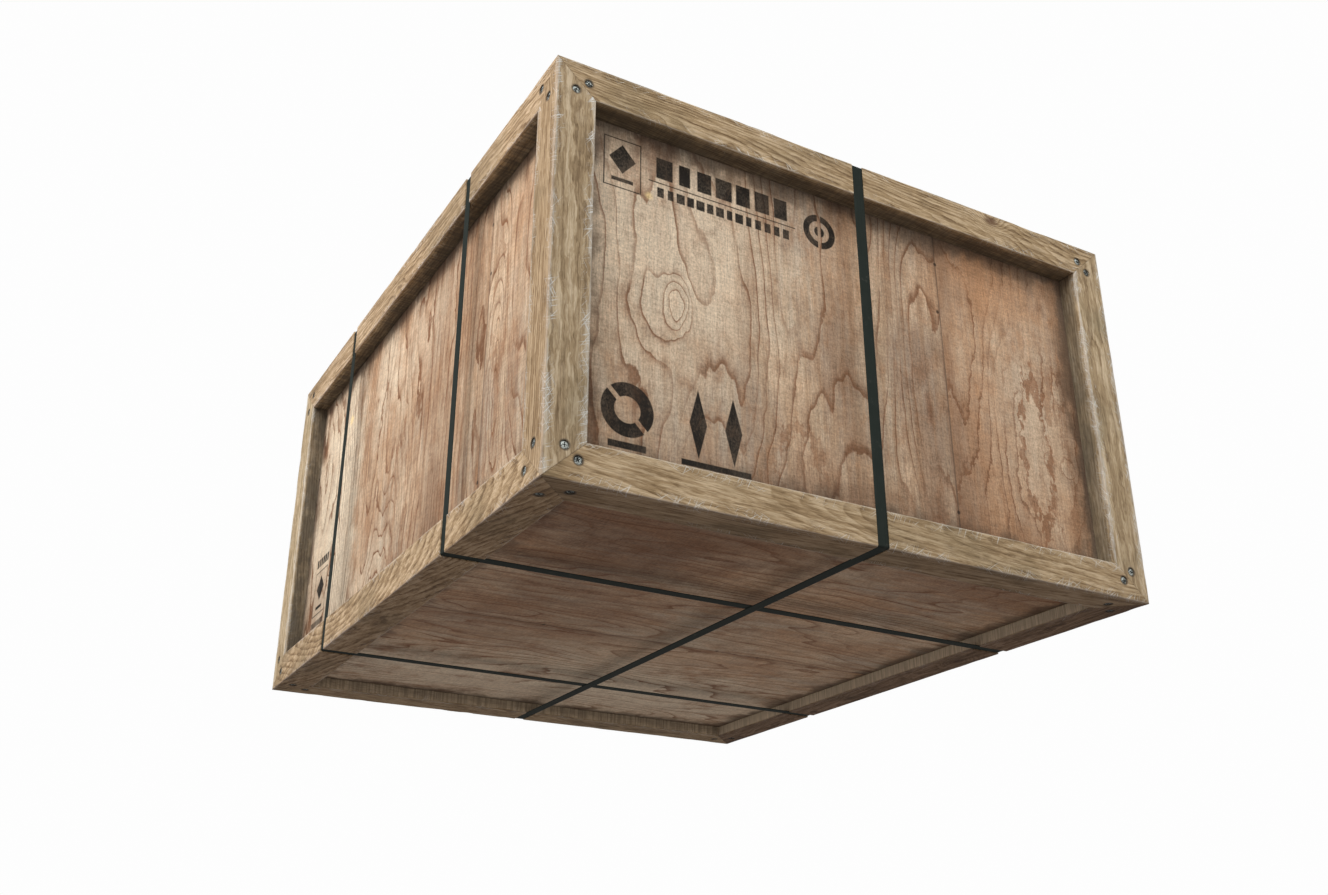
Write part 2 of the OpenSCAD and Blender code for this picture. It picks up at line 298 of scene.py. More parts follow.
def bar_mesh(node):
    """A sawn bar with mitred ends, its edges rounded by a wandering amount and bruised in places."""
    rng = seeded(node)
    along, cross, sides = bar_axes(node)
    lo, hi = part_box(node)
    half = HALF[along] - MITRE_GAP
    widths = np.array([CORNER[k] for k in cross])
    grades = np.array(GRADES + (0.5,) + tuple(1 - g for g in reversed(GRADES)))
    n = len(grades)
    ring = rim(n, n)
    spans = int(round(2 * half / STATION_STEP))
    share = np.linspace(0, 1, spans + 1)
    break_at = MITRE_CHAMFER / (2 * half)
    share = np.concatenate([[0, break_at], share[1:-1], [1 - break_at, 1]])
    count = len(share)
    run = share * 2 * half

    radii = np.zeros((count, 4))
    for k in range(4):
        soft = wander(rng, run, EDGE_PERIOD)
        bruise = np.clip(wander(rng, run, BRUISE_PERIOD) * 1.9 - 1.0, 0, 1)
        bruise = bruise * np.clip(wander(rng, run, BRUISED_PERIOD) * 2 - 0.7, 0, 1)
        share_worn = 1.0 if k == 0 else INNER_WORN
        radii[:, k] = EDGE_ROUND + EDGE_WANDER * soft + (EDGE_WORN - EDGE_ROUND) * bruise * share_worn
    radii /= widths.mean()
    slow, quick = [wander(rng, run, period) for period in SAWN_PERIODS]
    shrink = 1 - SAWN_WAVE * (0.35 * slow + 0.65 * quick)
    shrink[[0, -1]] -= 2 * MITRE_CHAMFER / widths.mean()

    def place(points, station, radius, scale):
        """Frame positions of section points (.., 2) at a share of the bar's length."""
        p = 0.5 + (round_corners(points, radius) - 0.5) * scale
        mitre = p.max(-1) * CORNER[along]
        out = np.zeros(p.shape[:-1] + (3,))
        out[..., along] = MID[along] - half + mitre + station * (2 * half - 2 * mitre)
        for k in range(2):
            outer_face = (hi if sides[k] > 0 else lo)[cross[k]]
            out[..., cross[k]] = outer_face - sides[k] * p[..., k] * widths[k]
        return out

    edge = np.array([[grades[i], grades[j]] for i, j in ring])
    m = len(ring)
    shell = place(np.repeat(edge[None], count, 0), share[:, None], np.repeat(radii[:, None], m, 1),
                  shrink[:, None, None])
    verts = list(shell.reshape(-1, 3))
    faces = skin(count, m)
    whole = np.stack(np.meshgrid(grades, grades, indexing="ij"), -1)
    for station in (0, count - 1):
        cap = place(whole, share[station], np.broadcast_to(radii[station], (n, n, 4)), shrink[station])
        index = np.zeros((n, n), int)
        for k, (i, j) in enumerate(ring):
            index[i, j] = station * m + k
        for i in range(1, n - 1):
            for j in range(1, n - 1):
                index[i, j] = len(verts)
                verts.append(cap[i, j])
        for i in range(n - 1):
            for j in range(n - 1):
                quad = [index[i, j], index[i + 1, j], index[i + 1, j + 1], index[i, j + 1]]
                if i == j:
                    faces += [quad[:3], [quad[0], quad[2], quad[3]]]
                else:
                    faces.append(quad)
    return new_object(node + "_bar", verts, faces)


def groove_cutter():
    """Boxes a little larger than the panels, one for each groove."""
    spans = []
    for node in PANELS:
        lo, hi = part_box(node)
        thin = min(range(3), key=lambda k: hi[k] - lo[k])
        grow = Vector([GROOVE_PLAY if k == thin else PANEL_PLAY for k in range(3)])
        spans.append((lo - grow, hi + grow))
    return boxes("grooves", spans)


# ---- straps

def strap_axes(node):
    """(axis the strap runs along, axis across it)."""
    lo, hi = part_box(node)
    return (1, 0) if hi.y - lo.y > hi.x - lo.x else (0, 1)


def rounded_loop(half, low, high, radius, steps):
    """Points of a rounded rectangle from its lower right corner, anticlockwise, with outward normals."""
    points = []
    for k, (side, level) in enumerate(((1, -1), (1, 1), (-1, 1), (-1, -1))):
        centre = np.array([side * (half - radius), (high if level > 0 else low) - level * radius])
        for angle in np.radians(90 * (k - 1) + np.linspace(0, 90, steps + 1)):
            normal = np.array([math.cos(angle), math.sin(angle)])
            points.append((centre + radius * normal, normal))
    return points


def strap_boxes(node):
    """Boxes of the lower and the upper length of a strap."""
    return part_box(node.replace("upper", "lower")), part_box(node.replace("lower", "upper"))


def strap_path(node):
    """The part of the strap's loop that this node covers, as (point, outward normal)."""
    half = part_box(node)[1][strap_axes(node)[0]]
    lower, upper = strap_boxes(node)
    part = lower[1].z
    loop = rounded_loop(half, lower[0].z, upper[1].z, STRAP_BEND, BEND_STEPS)
    keep = [p for p in loop if (p[0][1] > part) == node.endswith("upper")]
    right, left = [(np.array([side * half, part]), np.array([side, 0.0])) for side in (1.0, -1.0)]
    if node.endswith("upper"):
        return [right] + keep + [left]
    return [left] + sorted(keep, key=lambda p: p[0][0] > 0) + [right]


def subdivide(path, step):
    out = [path[0]]
    for (a, na), (b, nb) in zip(path, path[1:]):
        pieces = max(1, int(np.linalg.norm(b - a) / step))
        for k in range(1, pieces + 1):
            t = k / pieces
            normal = na * (1 - t) + nb * t
            out.append((a * (1 - t) + b * t, normal / np.linalg.norm(normal)))
    return out


def ribbon(path, width, thick):
    """Vertices (run, across, up) and faces of a flat strap swept along a path of its outer face."""
    w, e = width / 2, STRAP_EDGE
    flat = np.linspace(-w + e, w - e, 7)
    section = ([(a, 0) for a in flat] + [(w, -e), (w, e - thick)]
               + [(a, -thick) for a in flat[::-1]] + [(-w, e - thick), (-w, -e)])
    m = len(section)
    verts = [(point[0] + normal[0] * d, a, point[1] + normal[1] * d)
             for point, normal in path for a, d in section]
    return verts, skin(len(path), m) + [list(range(m)), list(range((len(path) - 1) * m, len(path) * m))]


def strap_mesh(node):
    along, across = strap_axes(node)
    lo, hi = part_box(node)
    middle = (lo[across] + hi[across]) / 2
    verts, faces = ribbon(subdivide(strap_path(node), STRAP_STEP), hi[across] - lo[across], STRAP_THICK)
    if node.endswith("upper"):
        seal = seal_place(along, middle)
        top = hi.z - STRAP_THICK - TAIL_GAP
        ends = [(np.array([seal + s * STRAP_TAIL / 2, top]), np.array([0.0, 1.0])) for s in (1, -1)]
        more, more_faces = ribbon(subdivide(ends, STRAP_STEP), hi[across] - lo[across], STRAP_THICK)
        faces += [[k + len(verts) for k in f] for f in more_faces]
        verts += more
    out = []
    for run, side, up in verts:
        point = [0, 0, up]
        point[along], point[across] = run, middle + side
        out.append(point)
    return new_object(node + "_band", out, faces)


def loose_parts(node):
    """The separate solids of a CAD node, each an array of points."""
    work = bmesh.new()
    work.from_mesh(NODES[node].data)
    bmesh.ops.remove_doubles(work, verts=work.verts, dist=1e-5)
    parts, seen = [], set()
    for start in work.verts:
        if start in seen:
            continue
        seen.add(start)
        stack, part = [start], []
        while stack:
            v = stack.pop()
            part.append(v.co[:])
            for e in v.link_edges:
                other = e.other_vert(v)
                if other not in seen:
                    seen.add(other)
                    stack.append(other)
        parts.append(np.array(part))
    work.free()
    return parts


def seal_place(along, middle):
    """Where along its strap the seal on the strap at this middle line lies."""
    across = 1 - along
    for part in loose_parts("strap_seals"):
        centre = (part.min(0) + part.max(0)) / 2
        size = part.max(0) - part.min(0)
        if abs(centre[across] - middle) < 1 * MM and size[along] > size[across]:
            return centre[along]
    raise ValueError("a strap has no seal")


def seat_cutter(nodes):
    """The space outside the seats of these straps: a frame round each strap's inner face."""
    verts, faces = [], []
    for node in nodes:
        along, across = strap_axes(node)
        lower, upper = strap_boxes(node)
        inner = rounded_loop(upper[1][along] - STRAP_THICK, lower[0].z + STRAP_THICK,
                             upper[1].z - STRAP_THICK, STRAP_BEND - STRAP_THICK, SEAT_STEPS)
        outer = rounded_loop(upper[1][along] + OVER, lower[0].z - OVER, upper[1].z + OVER, STRAP_BEND,
                             SEAT_STEPS)
        sides = (upper[0][across] - SEAT_PLAY, upper[1][across] + SEAT_PLAY)
        m, base = len(inner), len(verts)
        for loop in (inner, outer):
            for side in sides:
                for point, _ in loop:
                    place = [0, 0, point[1]]
                    place[along], place[across] = point[0], side
                    verts.append(place)
        for k in range(m):
            a, b = base + k, base + (k + 1) % m
            faces += [(a, b, b + m, a + m), (a + 2 * m, b + 2 * m, b + 3 * m, a + 3 * m),
                      (a, b, b + 2 * m, a + 2 * m), (a + m, b + m, b + 3 * m, a + 3 * m)]
    return new_object("seats", verts, faces)


# ---- screws

def screw_places(node):
    """(matrix that puts a screw driven along +Z from z = 0 in its place, its length) for each screw."""
    places = []
    for part in loose_parts(node):
        lo, hi = part.min(0), part.max(0)
        axis = int(np.argmax(hi - lo))
        side = 1 if lo[axis] + hi[axis] > 2 * MID[axis] else -1
        face = MID[axis] + side * HALF[axis]
        inward = Vector([-side if k == axis else 0 for k in range(3)])
        centre = Vector((lo + hi) / 2)
        centre[axis] = face
        turn = Vector((0, 0, 1)).rotation_difference(inward).to_matrix().to_4x4()
        tip = lo[axis] if side > 0 else hi[axis]
        places.append((Matrix.Translation(centre) @ turn, abs(face - tip)))
    return places


def lathe(profile, sides, name):
    """A turned solid from (radius at an angle's share of a turn, z) rings; both ends close on a point."""
    verts = []
    for radius, z in profile:
        for k in range(sides):
            angle = 2 * math.pi * k / sides
            r = radius(k / sides) if callable(radius) else radius
            verts.append((r * math.cos(angle), r * math.sin(angle), z))
    ends = [tuple(range(sides)), tuple(range((len(profile) - 1) * sides, len(profile) * sides))]
    return new_object(name, verts, skin(len(profile), sides) + ends)


def thread_radius(z, core):
    def at(turn):
        phase = (z / THREAD_PITCH - turn) % 1
        return core - THREAD_DEPTH * min(1, THREAD_FLANK * abs(phase - 0.5))
    return at


def screw_master(length):
    """A screw driven along +Z from z = 0: domed head with a cross recess, cone, thread and point."""
    rim = CROWN_TOP + CROWN_H
    sphere_r = (HEAD_R ** 2 + CROWN_H ** 2) / (2 * CROWN_H)
    profile = []
    for share in DOME_RINGS:
        r = HEAD_R * share
        profile.append((r, CROWN_TOP + sphere_r - math.sqrt(sphere_r ** 2 - r ** 2)))
    profile += [(HEAD_R, rim - 0.1 * MM), (HEAD_R, rim + 0.15 * MM), (HEAD_R - 0.3 * MM, rim + 0.5 * MM),
                (SHANK_R, rim + CONE_H), (SHANK_R, rim + CONE_H + 1 * MM)]
    z = rim + CONE_H + 2 * MM
    end = length - 0.4 * MM
    while z < end:
        taper = min(1, (length - z) / TIP_LEN)
        profile.append((thread_radius(z, SHANK_R * taper + THREAD_DEPTH * (1 - taper)), z))
        z += THREAD_PITCH / THREAD_ROWS
    profile.append((0.25 * MM, length))
    screw = lathe(profile, SCREW_SIDES, "screw")
    spans = [(Vector((-CROSS_SPAN / 2, -CROSS_WIDTH / 2, -OVER)),
              Vector((CROSS_SPAN / 2, CROSS_WIDTH / 2, CROWN_TOP + CROSS_DEPTH)))]
    cutters = []
    for degrees in (45, 135):
        cutter = boxes("cross", spans)
        cutter.data.transform(Matrix.Rotation(math.radians(degrees), 4, "Z"))
        cutters.append(cutter)
    cut(screw, cutters)
    remove(cutters)
    return screw


def copies(name, master_meshes, places):
    """One object holding a copy of a mesh at each place."""
    work = bmesh.new()
    for mesh, matrix in zip(master_meshes, places):
        part = mesh.copy()
        part.transform(matrix)
        work.from_mesh(part)
        bpy.data.meshes.remove(part)
    mesh = bpy.data.meshes.new(name)
    work.to_mesh(mesh)
    work.free()
    return link(name, mesh)


def hole_master(length):
    rim = CROWN_TOP + CROWN_H
    head, shank = HEAD_R + HOLE_PLAY, SHANK_R + HOLE_PLAY
    return lathe([(head, -OVER), (head, rim), (shank, rim + CONE_H),
                  (shank, length + HOLE_DEEPER)], HOLE_SIDES, "hole")


def hole_cutters():
    """For each screw node, one cutter that holds all of its screw holes."""
    cutters = []
    for node in SCREWS:
        places = screw_places(node)
        masters = [hole_master(length) for _, length in places]
        cutters.append(copies(node + "_holes", [m.data for m in masters], [p for p, _ in places]))
        remove(masters)
    return cutters


# ---- panels

def sheet_axes(node):
    """(axis through the sheet, axis across the grain, axis along the grain)."""
    lo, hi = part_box(node)
    size = hi - lo
    thin = min(range(3), key=lambda k: size[k])
    if thin == 2:
        return thin, 1, 0
    return thin, 1 - thin, 2


SEAMS = {"front_panel": 0.172, "left_panel": -0.322, "back_panel": -0.21, "right_panel": 0.16,
         "floor_panel": 0.02, "lid_panel": -0.12}


def lines_between(low, high, step, extra=()):
    count = int(round((high - low) / step))
    lines = list(np.linspace(low, high, count + 1))
    for value in extra:
        lines = [v for v in lines if abs(v - value) > step * 0.3 or v in (low, high)]
        lines += [value + k * SEAM_HALF for k in (-1, -0.35, 0, 0.35, 1)]
    return np.array(sorted(lines))


def sheet_mesh(node):
    """A plywood sheet: faces that undulate slightly, a fine groove at the veneer joint, eased edges."""
    rng = seeded(node)
    thin, across, along = sheet_axes(node)
    lo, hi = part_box(node)
    seam = SEAMS[node]
    us = lines_between(lo[across], hi[across], SHEET_STEP, (MID[across] + seam,))
    vs = lines_between(lo[along], hi[along], SHEET_STEP)
    wave = (wander(rng, us, SHEET_PERIODS[0])[:, None] * 0.5
            + wander(rng, vs, SHEET_PERIODS[1])[None, :] * 0.5)
    groove = np.clip(1 - np.abs(us - MID[across] - seam) / SEAM_HALF, 0, 1)[:, None] * np.ones(len(vs))
    sink = SHEET_WAVE * wave + SEAM_DEPTH * groove
    nu, nv = len(us), len(vs)
    inner_u, inner_v = us.copy(), vs.copy()
    for line in (inner_u, inner_v):
        line[0] += SHEET_CHAMFER
        line[-1] -= SHEET_CHAMFER
    verts, faces = [], []

    def add(u, v, t):
        point = [0, 0, 0]
        point[across], point[along], point[thin] = u, v, t
        verts.append(point)
        return len(verts) - 1

    outline = rim(nu, nv)
    rims = []
    for face, sign in ((lo[thin], 1), (hi[thin], -1)):
        index = np.array([[add(inner_u[i], inner_v[j], face + sign * sink[i, j]) for j in range(nv)]
                          for i in range(nu)])
        faces += [(index[i, j], index[i + 1, j], index[i + 1, j + 1], index[i, j + 1])
                  for i in range(nu - 1) for j in range(nv - 1)]
        edge = [add(us[i], vs[j], face + sign * (SHEET_CHAMFER + sink[i, j])) for i, j in outline]
        rims += [[index[i, j] for i, j in outline], edge]
    for a, b in ((0, 1), (1, 3), (3, 2)):
        m = len(outline)
        faces += [(rims[a][k], rims[a][(k + 1) % m], rims[b][(k + 1) % m], rims[b][k]) for k in range(m)]
    return new_object(node + "_sheet", verts, faces)


# ---- shader nodes

tree = None  # the node tree that the functions below add to


def begin(block):
    """Empties a material's or world's node tree; the nodes made from here on go into it."""
    global tree
    block.use_nodes = True
    tree = block.node_tree
    tree.nodes.clear()
    return block


def new_material(name):
    return begin(bpy.data.materials.new(name))


class Value:
    """A node's output. Arithmetic on it adds Math nodes."""

    def __init__(self, socket):
        self.socket = socket

    def __rsub__(self, other):
        return calc("SUBTRACT", other, self)


for method, operation in {"__add__": "ADD", "__radd__": "ADD", "__sub__": "SUBTRACT", "__mul__": "MULTIPLY",
                          "__rmul__": "MULTIPLY", "__truediv__": "DIVIDE", "__pow__": "POWER",
                          "__abs__": "ABSOLUTE"}.items():
    setattr(Value, method, lambda a, b=None, operation=operation: calc(operation, a, b))


def add(kind, inputs, out=0, **settings):
    """Adds a node, fills its inputs with numbers, tuples or Values, and returns one output."""
    made = tree.nodes.new("ShaderNode" + kind)
    for key, value in settings.items():
        setattr(made, key, value)
    for key, value in inputs.items():
        socket = made.inputs[key]
        if isinstance(value, Value):
            tree.links.new(value.socket, socket)
        elif value is not None:
            socket.default_value = (*value, 1) if socket.type == "RGBA" and len(value) == 3 else value
    return None if out is None else Value(made.outputs[out])


def calc(operation, a, b=None, clamp=False):
    return add("Math", {0: a, 1: b}, operation=operation, use_clamp=clamp)


def most(*values):
    return reduce(partial(calc, "MAXIMUM"), values)


def least(*values):
    return reduce(partial(calc, "MINIMUM"), values)


def fract(value):
    return calc("FRACT", value)


def fit(value, low, high, to_low=0.0, to_high=1.0):
    """Eases value from one range to another and holds it there beyond the ends."""
    inputs = {"Value": value, "From Min": low, "From Max": high, "To Min": to_low, "To Max": to_high}
    return add("MapRange", inputs, "Result", interpolation_type="SMOOTHSTEP")


def mix(factor, a, b, mode="MIX"):
    return add("Mix", {0: factor, 6: a, 7: b}, 2, data_type="RGBA", blend_type=mode)


def layers(colour, *coats):
    """Colours laid over one another. coats are (factor, colour)."""
    for factor, coat in coats:
        colour = mix(factor, colour, coat)
    return colour


def dim(colour, share):
    return mix(1.0, colour, xyz(share, share, share), "MULTIPLY")


def xyz(x, y, z):
    return add("CombineXYZ", {"X": x, "Y": y, "Z": z})


def split(vector):
    return [Value(s) for s in add("SeparateXYZ", {"Vector": vector}).socket.node.outputs]


def stretch(vector, by, offset=(0, 0, 0)):
    return add("VectorMath", {0: vector, 1: by, 2: offset}, operation="MULTIPLY_ADD")


def distance(vector, centre):
    return add("VectorMath", {0: vector, 1: centre}, "Value", operation="DISTANCE")


def length(vector):
    return add("VectorMath", {0: vector}, "Value", operation="LENGTH")


def noise(vector, by, seed=(0, 0, 0), detail=2.0, rough=0.5):
    """Noise with by features per metre: one number, or one for each axis."""
    if isinstance(by, tuple):
        vector, by = stretch(vector, by, seed), 1.0
    return add("TexNoise", {"Vector": vector, "Scale": by, "Detail": detail, "Roughness": rough}, "Fac")


def shades(value, stops):
    ramp = add("ValToRGB", {"Fac": value}, "Color")
    points = ramp.socket.node.color_ramp.elements
    while len(points) < len(stops):
        points.new(0.5)
    for point, (at, colour) in zip(points, stops):
        point.position = at
        point.color = (*colour, 1)
    return ramp


def spot(vector, centre, near, far):
    """1 within near of a point and 0 beyond far."""
    return fit(distance(vector, centre), near, far, 1.0, 0.0)


def surface(material, colour, rough, bumps, metallic=0.0, specular=0.12):
    """Closes a material. bumps are (height, strength, distance)."""
    normal = None
    for height, strength, reach in bumps:
        inputs = {"Height": height, "Strength": strength, "Distance": reach, "Normal": normal}
        normal = add("Bump", inputs)
    shader = add("BsdfPrincipled", {"Base Color": colour, "Roughness": rough, "Normal": normal,
                                    "Metallic": metallic, "Specular IOR Level": specular})
    add("OutputMaterial", {"Surface": shader}, None)
    return material


def place_of():
    """The point shaded, measured from the crate's middle."""
    where = add("TexCoord", {}, "Object")
    return add("VectorMath", {0: where, 1: MID[:]}, operation="SUBTRACT")


def screw_corner():
    """Head centres of the screws at one corner, in from the outer faces."""
    heads = set()
    for node in SCREWS:
        for matrix, _ in screw_places(node):
            point = matrix.translation - MID
            heads.add(tuple(round(HALF[k] - abs(point[k]), 4) for k in range(3)))
    return sorted(heads)


# ---- timber

HEADS = screw_corner()
HEAD_GRIME = (0.0066, 0.0092)  # ring of grime round a screw head
STROKES = ((0.62, 30, 760), (-0.5, 34, 820), (1.15, 36, 780))  # scratches: turn, features per metre

# Each is for a post, then for a rail
LOOK = {
    "wave": (1.0, 0.8),  # how far the grain wanders
    "slants": ((0.03, 0.07), (0.03, 0.16)),  # least and most slope of the grain
    "rings": (200.0, 340.0),  # growth rings per metre
    "ring_depth": (0.48, 0.70),  # their darkness
    "drift": (0.045, 0.060),  # slow, fine and side bends of the pith line
    "ripple": (0.0030, 0.0075),
    "bow": (0.006, 0.014),
    "streaks": (0.40, 0.46),
    "fade": (0.61, 0.66),
    "olive": (0.55, 0.38),
    "rubbed": ((0.0025, 0.0115), (0.0013, 0.0042)),  # least and most width of the worn edges
    "worn": ((0.22, 0.56), (0.20, 0.55)),  # their strength
    "scratches": ((0.685, 0.73, 0.75), (0.71, 0.75, 0.60)),  # threshold, full at, brightness
    "recess_shade": ((0.85, 0.013), (0.76, 0.012)),  # painted shade on the inner sides, how far in it begins
    "damp": (0.30, 0.30),  # darkness of the underside
    "tint": ((1.05, 1.13, 1.20), (1.03, 1.06, 1.06)),
    "brightness": (1.0, 1.0),
    "ribs": (0, 0.5),  # dark marks across the inner sides
}
# Where one bar differs. slant: fixed slope; bare: inner sides rubbed bare below the floor; side: tint of
# the outer side face, painted warm light on the faces that face sideways; knot: (along the bar, in from a
# face)
BAR_LOOKS = {
    "front_base_rail": {"slant": 0.07, "wave": 0.22, "rings": 190.0, "ring_depth": 0.48,
                        "recess_shade": (0.60, 0.012), "damp": 0.46, "brightness": 0.95},
    "left_base_rail": {"slant": 0.26, "wave": 0.70, "rings": 105.0, "ring_depth": 0.68,
                       "recess_shade": (0.50, 0.012), "damp": 0.50, "brightness": 1.19, "side": (0.99, 0.955, 0.96)},
    "right_base_rail": {"ribs": 0.40, "recess_shade": (0.10, 0.012), "damp": 0.80, "bare": 1.00,
                        "knot": (-0.2, 0.03)},
    "back_base_rail": {"ribs": 0.44, "recess_shade": (0.30, 0.012), "bare": 0.60},
    "front_lid_rail": {"slant": -0.04, "wave": 0.30, "rings": 300.0, "ribs": 0.30, "recess_shade": (0.67, 0.012),
                       "brightness": 0.94, "knot": (0.268, 0.013)},
    "left_lid_rail": {"rings": 200.0, "recess_shade": (0.71, 0.012), "brightness": 1.10, "side": (1.04, 1.00, 1.02)},
    "right_lid_rail": {"ribs": 0.15},
    "back_lid_rail": {"ribs": 0.15, "knot": (-0.12, 0.035)},
    "front_left_post": {"brightness": 0.90, "side": (1.04, 0.94, 0.87)},
    "front_right_post": {"recess_shade": (0.66, 0.013), "brightness": 1.03},
    "back_left_post": {"recess_shade": (0.86, 0.004), "brightness": 1.20},
    "back_right_post": {"knot": (0.08, 0.03)},
}
KNOT_LENGTH = 0.6  # squeeze along the bar that makes a knot longer than it is wide


def timber(node):
    """Weathered sawn softwood, its rings and fibre running along the bar."""
    material = new_material(node + "_timber")
    rng = seeded(node + "wood")
    along, cross, _ = bar_axes(node)
    look = {key: pair[along < 2] for key, pair in LOOK.items()} | BAR_LOOKS[node]
    wave = look["wave"]
    axes = split(place_of())
    depth = [HALF[k] - abs(axes[k]) for k in range(3)]
    run, d1, d2 = axes[along], depth[cross[0]], depth[cross[1]]
    c1, c2 = CORNER[cross[0]], CORNER[cross[1]]
    seed = tuple(float(v) for v in rng.rand(3) * 40)
    flip = seed[::-1]
    local = xyz(run, d1, d2)

    # rings: distance from a pith line that wanders beside the bar
    slow = noise(local, (3.2, 9, 9), seed, 1.5)
    quick = noise(local, (17, 34, 34), flip, 3.0, 0.6)
    ripple = noise(local, (46, 90, 90), seed)
    pith = [float(rng.uniform(0.06, 0.11)), float(rng.uniform(0.05, 0.09))]
    if rng.rand() < 0.5:
        pith.reverse()
    slant = look.get("slant", float(rng.choice([-1, 1]) * rng.uniform(*look["slants"])))
    p1 = d1 + slow * look["drift"] + run * slant + ripple * (look["ripple"] * wave) - pith[0]
    p2 = d2 + quick * (look["bow"] * wave) - pith[1]
    radius = calc("SQRT", p1 * p1 + p2 * p2)
    knot_dark = 0.0
    if "knot" in look:
        at, level = look["knot"]
        squeezed = stretch(local, (KNOT_LENGTH, 1, 1))
        centre = (at * KNOT_LENGTH, 0.0, level) if along == 0 else (at * KNOT_LENGTH, level, 0.0)
        radius = radius + spot(squeezed, centre, 0.0, 0.030) * 0.014
        knot_dark = spot(squeezed, centre, 0.002, 0.0125) * fit(quick, 0.3, 0.6, 0.6, 0.95)
    rings = fract(radius * look["rings"])
    late = rings ** 1.8 * fit(rings, 0.88, 1.0, 1.0, 0.0)

    # wavy flecks, fibre and pores
    lean = (quick - 0.5) * (0.016 * wave) + run * slant
    wavy = xyz(run, d1 + lean, d2 + lean)
    fleck = fit(noise(wavy, (30, 420, 420), seed, 4, 0.6), 0.40, 0.64)
    streak = fit(noise(wavy, (8, 130, 130), flip, 4, 0.65), 0.38, 0.62)
    fibre = noise(local, (16, 700, 700), seed, 3, 0.6)
    pores = fit(noise(local, (40, 1100, 1100), seed, 1), 0.58, 0.68)
    blotch = noise(local, (5.5, 8, 8), seed, 3, 0.55)
    patch = noise(local, (24, 34, 34), flip, 4, 0.65)

    late = late * fit(patch, 0.25, 0.55, 0.35, 1.0)
    tone = (late * look["ring_depth"] + fleck * 0.26 + streak * look["streaks"] + fibre * 0.36
            + blotch * 0.74 - look["fade"])
    colour = shades(tone, [(0.0, TIMBER_PALE), (0.40, TIMBER_MID), (0.95, TIMBER_DARK)])
    colour = layers(colour, (fit(blotch, 0.50, 0.68, 0.0, look["olive"]), TIMBER_OLIVE),
                    (fit(patch, 0.52, 0.74, 0.0, 0.45), TIMBER_PALE),
                    (fit(patch, 0.46, 0.28, 0.0, 0.35), TIMBER_DARK),
                    (pores * 0.35, TIMBER_DARK), (knot_dark, TIMBER_KNOT))

    # edges rubbed pale, with short bright scratches
    edge = most(least(d1, c1 - d1), least(d2, c2 - d2))
    rub = noise(local, (14, 30, 30), seed, 4, 0.65)
    grit = noise(local, (70, 420, 420), seed, 4, 0.7)
    worn = fit(edge / fit(rub, 0.34, 0.66, *look["rubbed"]), 0.35, 1.0, 1.0, 0.0)
    worn = worn * fit(grit, 0.35, 0.65, *look["worn"])
    low, high, bright = look["scratches"]
    side, scratches = d1 + d2, 0.0
    for turn, lengthwise, crosswise in STROKES:
        u = run * math.cos(turn) + side * math.sin(turn)
        v = run * -math.sin(turn) + side * math.cos(turn)
        lines = noise(xyz(u, v, 0.0), (lengthwise, crosswise, 1), seed, 0.0)
        scratches = most(scratches, fit(lines, low, high))
    scratches = scratches * (fit(edge, 0.004, 0.018, 1.0, 0.0) * fit(rub, 0.42, 0.56))
    colour = layers(colour, (worn, SCUFFED), (scratches * bright, SCRATCHED))

    # painted shade in the recesses, grime at the mitres and round the screw heads
    recess_shade, recess_shade_reach = look["recess_shade"]
    sunk = least(d1, d2)
    recessed = fit(sunk, 0.0015, 0.004)
    mitre = most(d1 / c1, d2 / c2) * CORNER[along]
    joint = fit(abs(HALF[along] - abs(run) - mitre), 0.0003, 0.0016, 1.0, 0.0)
    corner = xyz(*depth)
    ringed = most(*[spot(corner, head, *HEAD_GRIME) for head in HEADS])
    # painted shade: the faces sunk below the outer faces, the sides of the recesses, are darkened
    inner = fit(sunk + patch * -0.006, -0.003, recess_shade_reach)
    if "bare" in look:
        floor = -HALF.z + FLOOR_LEVEL
        colour = mix(recessed * fit(axes[2], floor - 0.002, floor, look["bare"], 0.0), colour, BARE_TIMBER)
    if look["ribs"]:
        ribs = fit(noise(local, (260, 14, 14), seed, 3, 0.6), 0.36, 0.62)
        colour = mix(ribs * recessed * look["ribs"], colour, GRIME_AND_SHADE)
    # painted shade in the recesses, with grime at the mitres and round the screw heads
    dirt_and_shade = most(inner * recess_shade, joint * 0.22, ringed * 0.75) * fit(patch, 0.25, 0.6, 0.65, 1.0)
    tint = tuple(look["brightness"] * share for share in look["tint"])
    colour = mix(1.0, colour, tint, "MULTIPLY")
    # painted light: a warm tint on the outer faces that face sideways, where the warm key light falls
    if "side" in look:
        colour = mix(fit(depth[0], 0.001, 0.003, 1.0, 0.0), colour, look["side"], "MULTIPLY")
    # the underside faces are darkened and reddened
    damp = fit(axes[2], -HALF.z, -HALF.z + 0.004, look["damp"], 0.0)
    colour = mix(damp, colour, UNDERSIDE_TINT, "MULTIPLY")
    colour = darker_below(axes[2], mix(dirt_and_shade, colour, GRIME_AND_SHADE), 0.94, 1.06)

    rough = 0.62 + fibre * 0.25 + worn * 0.1
    relief = late * 0.4 - fleck * 0.5 + fibre * 0.9 - pores * 0.5 - scratches * 0.8
    return surface(material, colour, rough, [(relief, 0.6, 0.0006), (rub, 0.25, 0.0015)])


def darker_below(height, colour, low=0.86, high=1.10):
    """Darker towards the bottom of the crate and lighter towards the top."""
    return dim(colour, fit(height, -HALF.z, HALF.z * 0.8, low, high))


# ---- printed marks

MARK_SOFT = 0.8 * MM  # blur of a printed edge


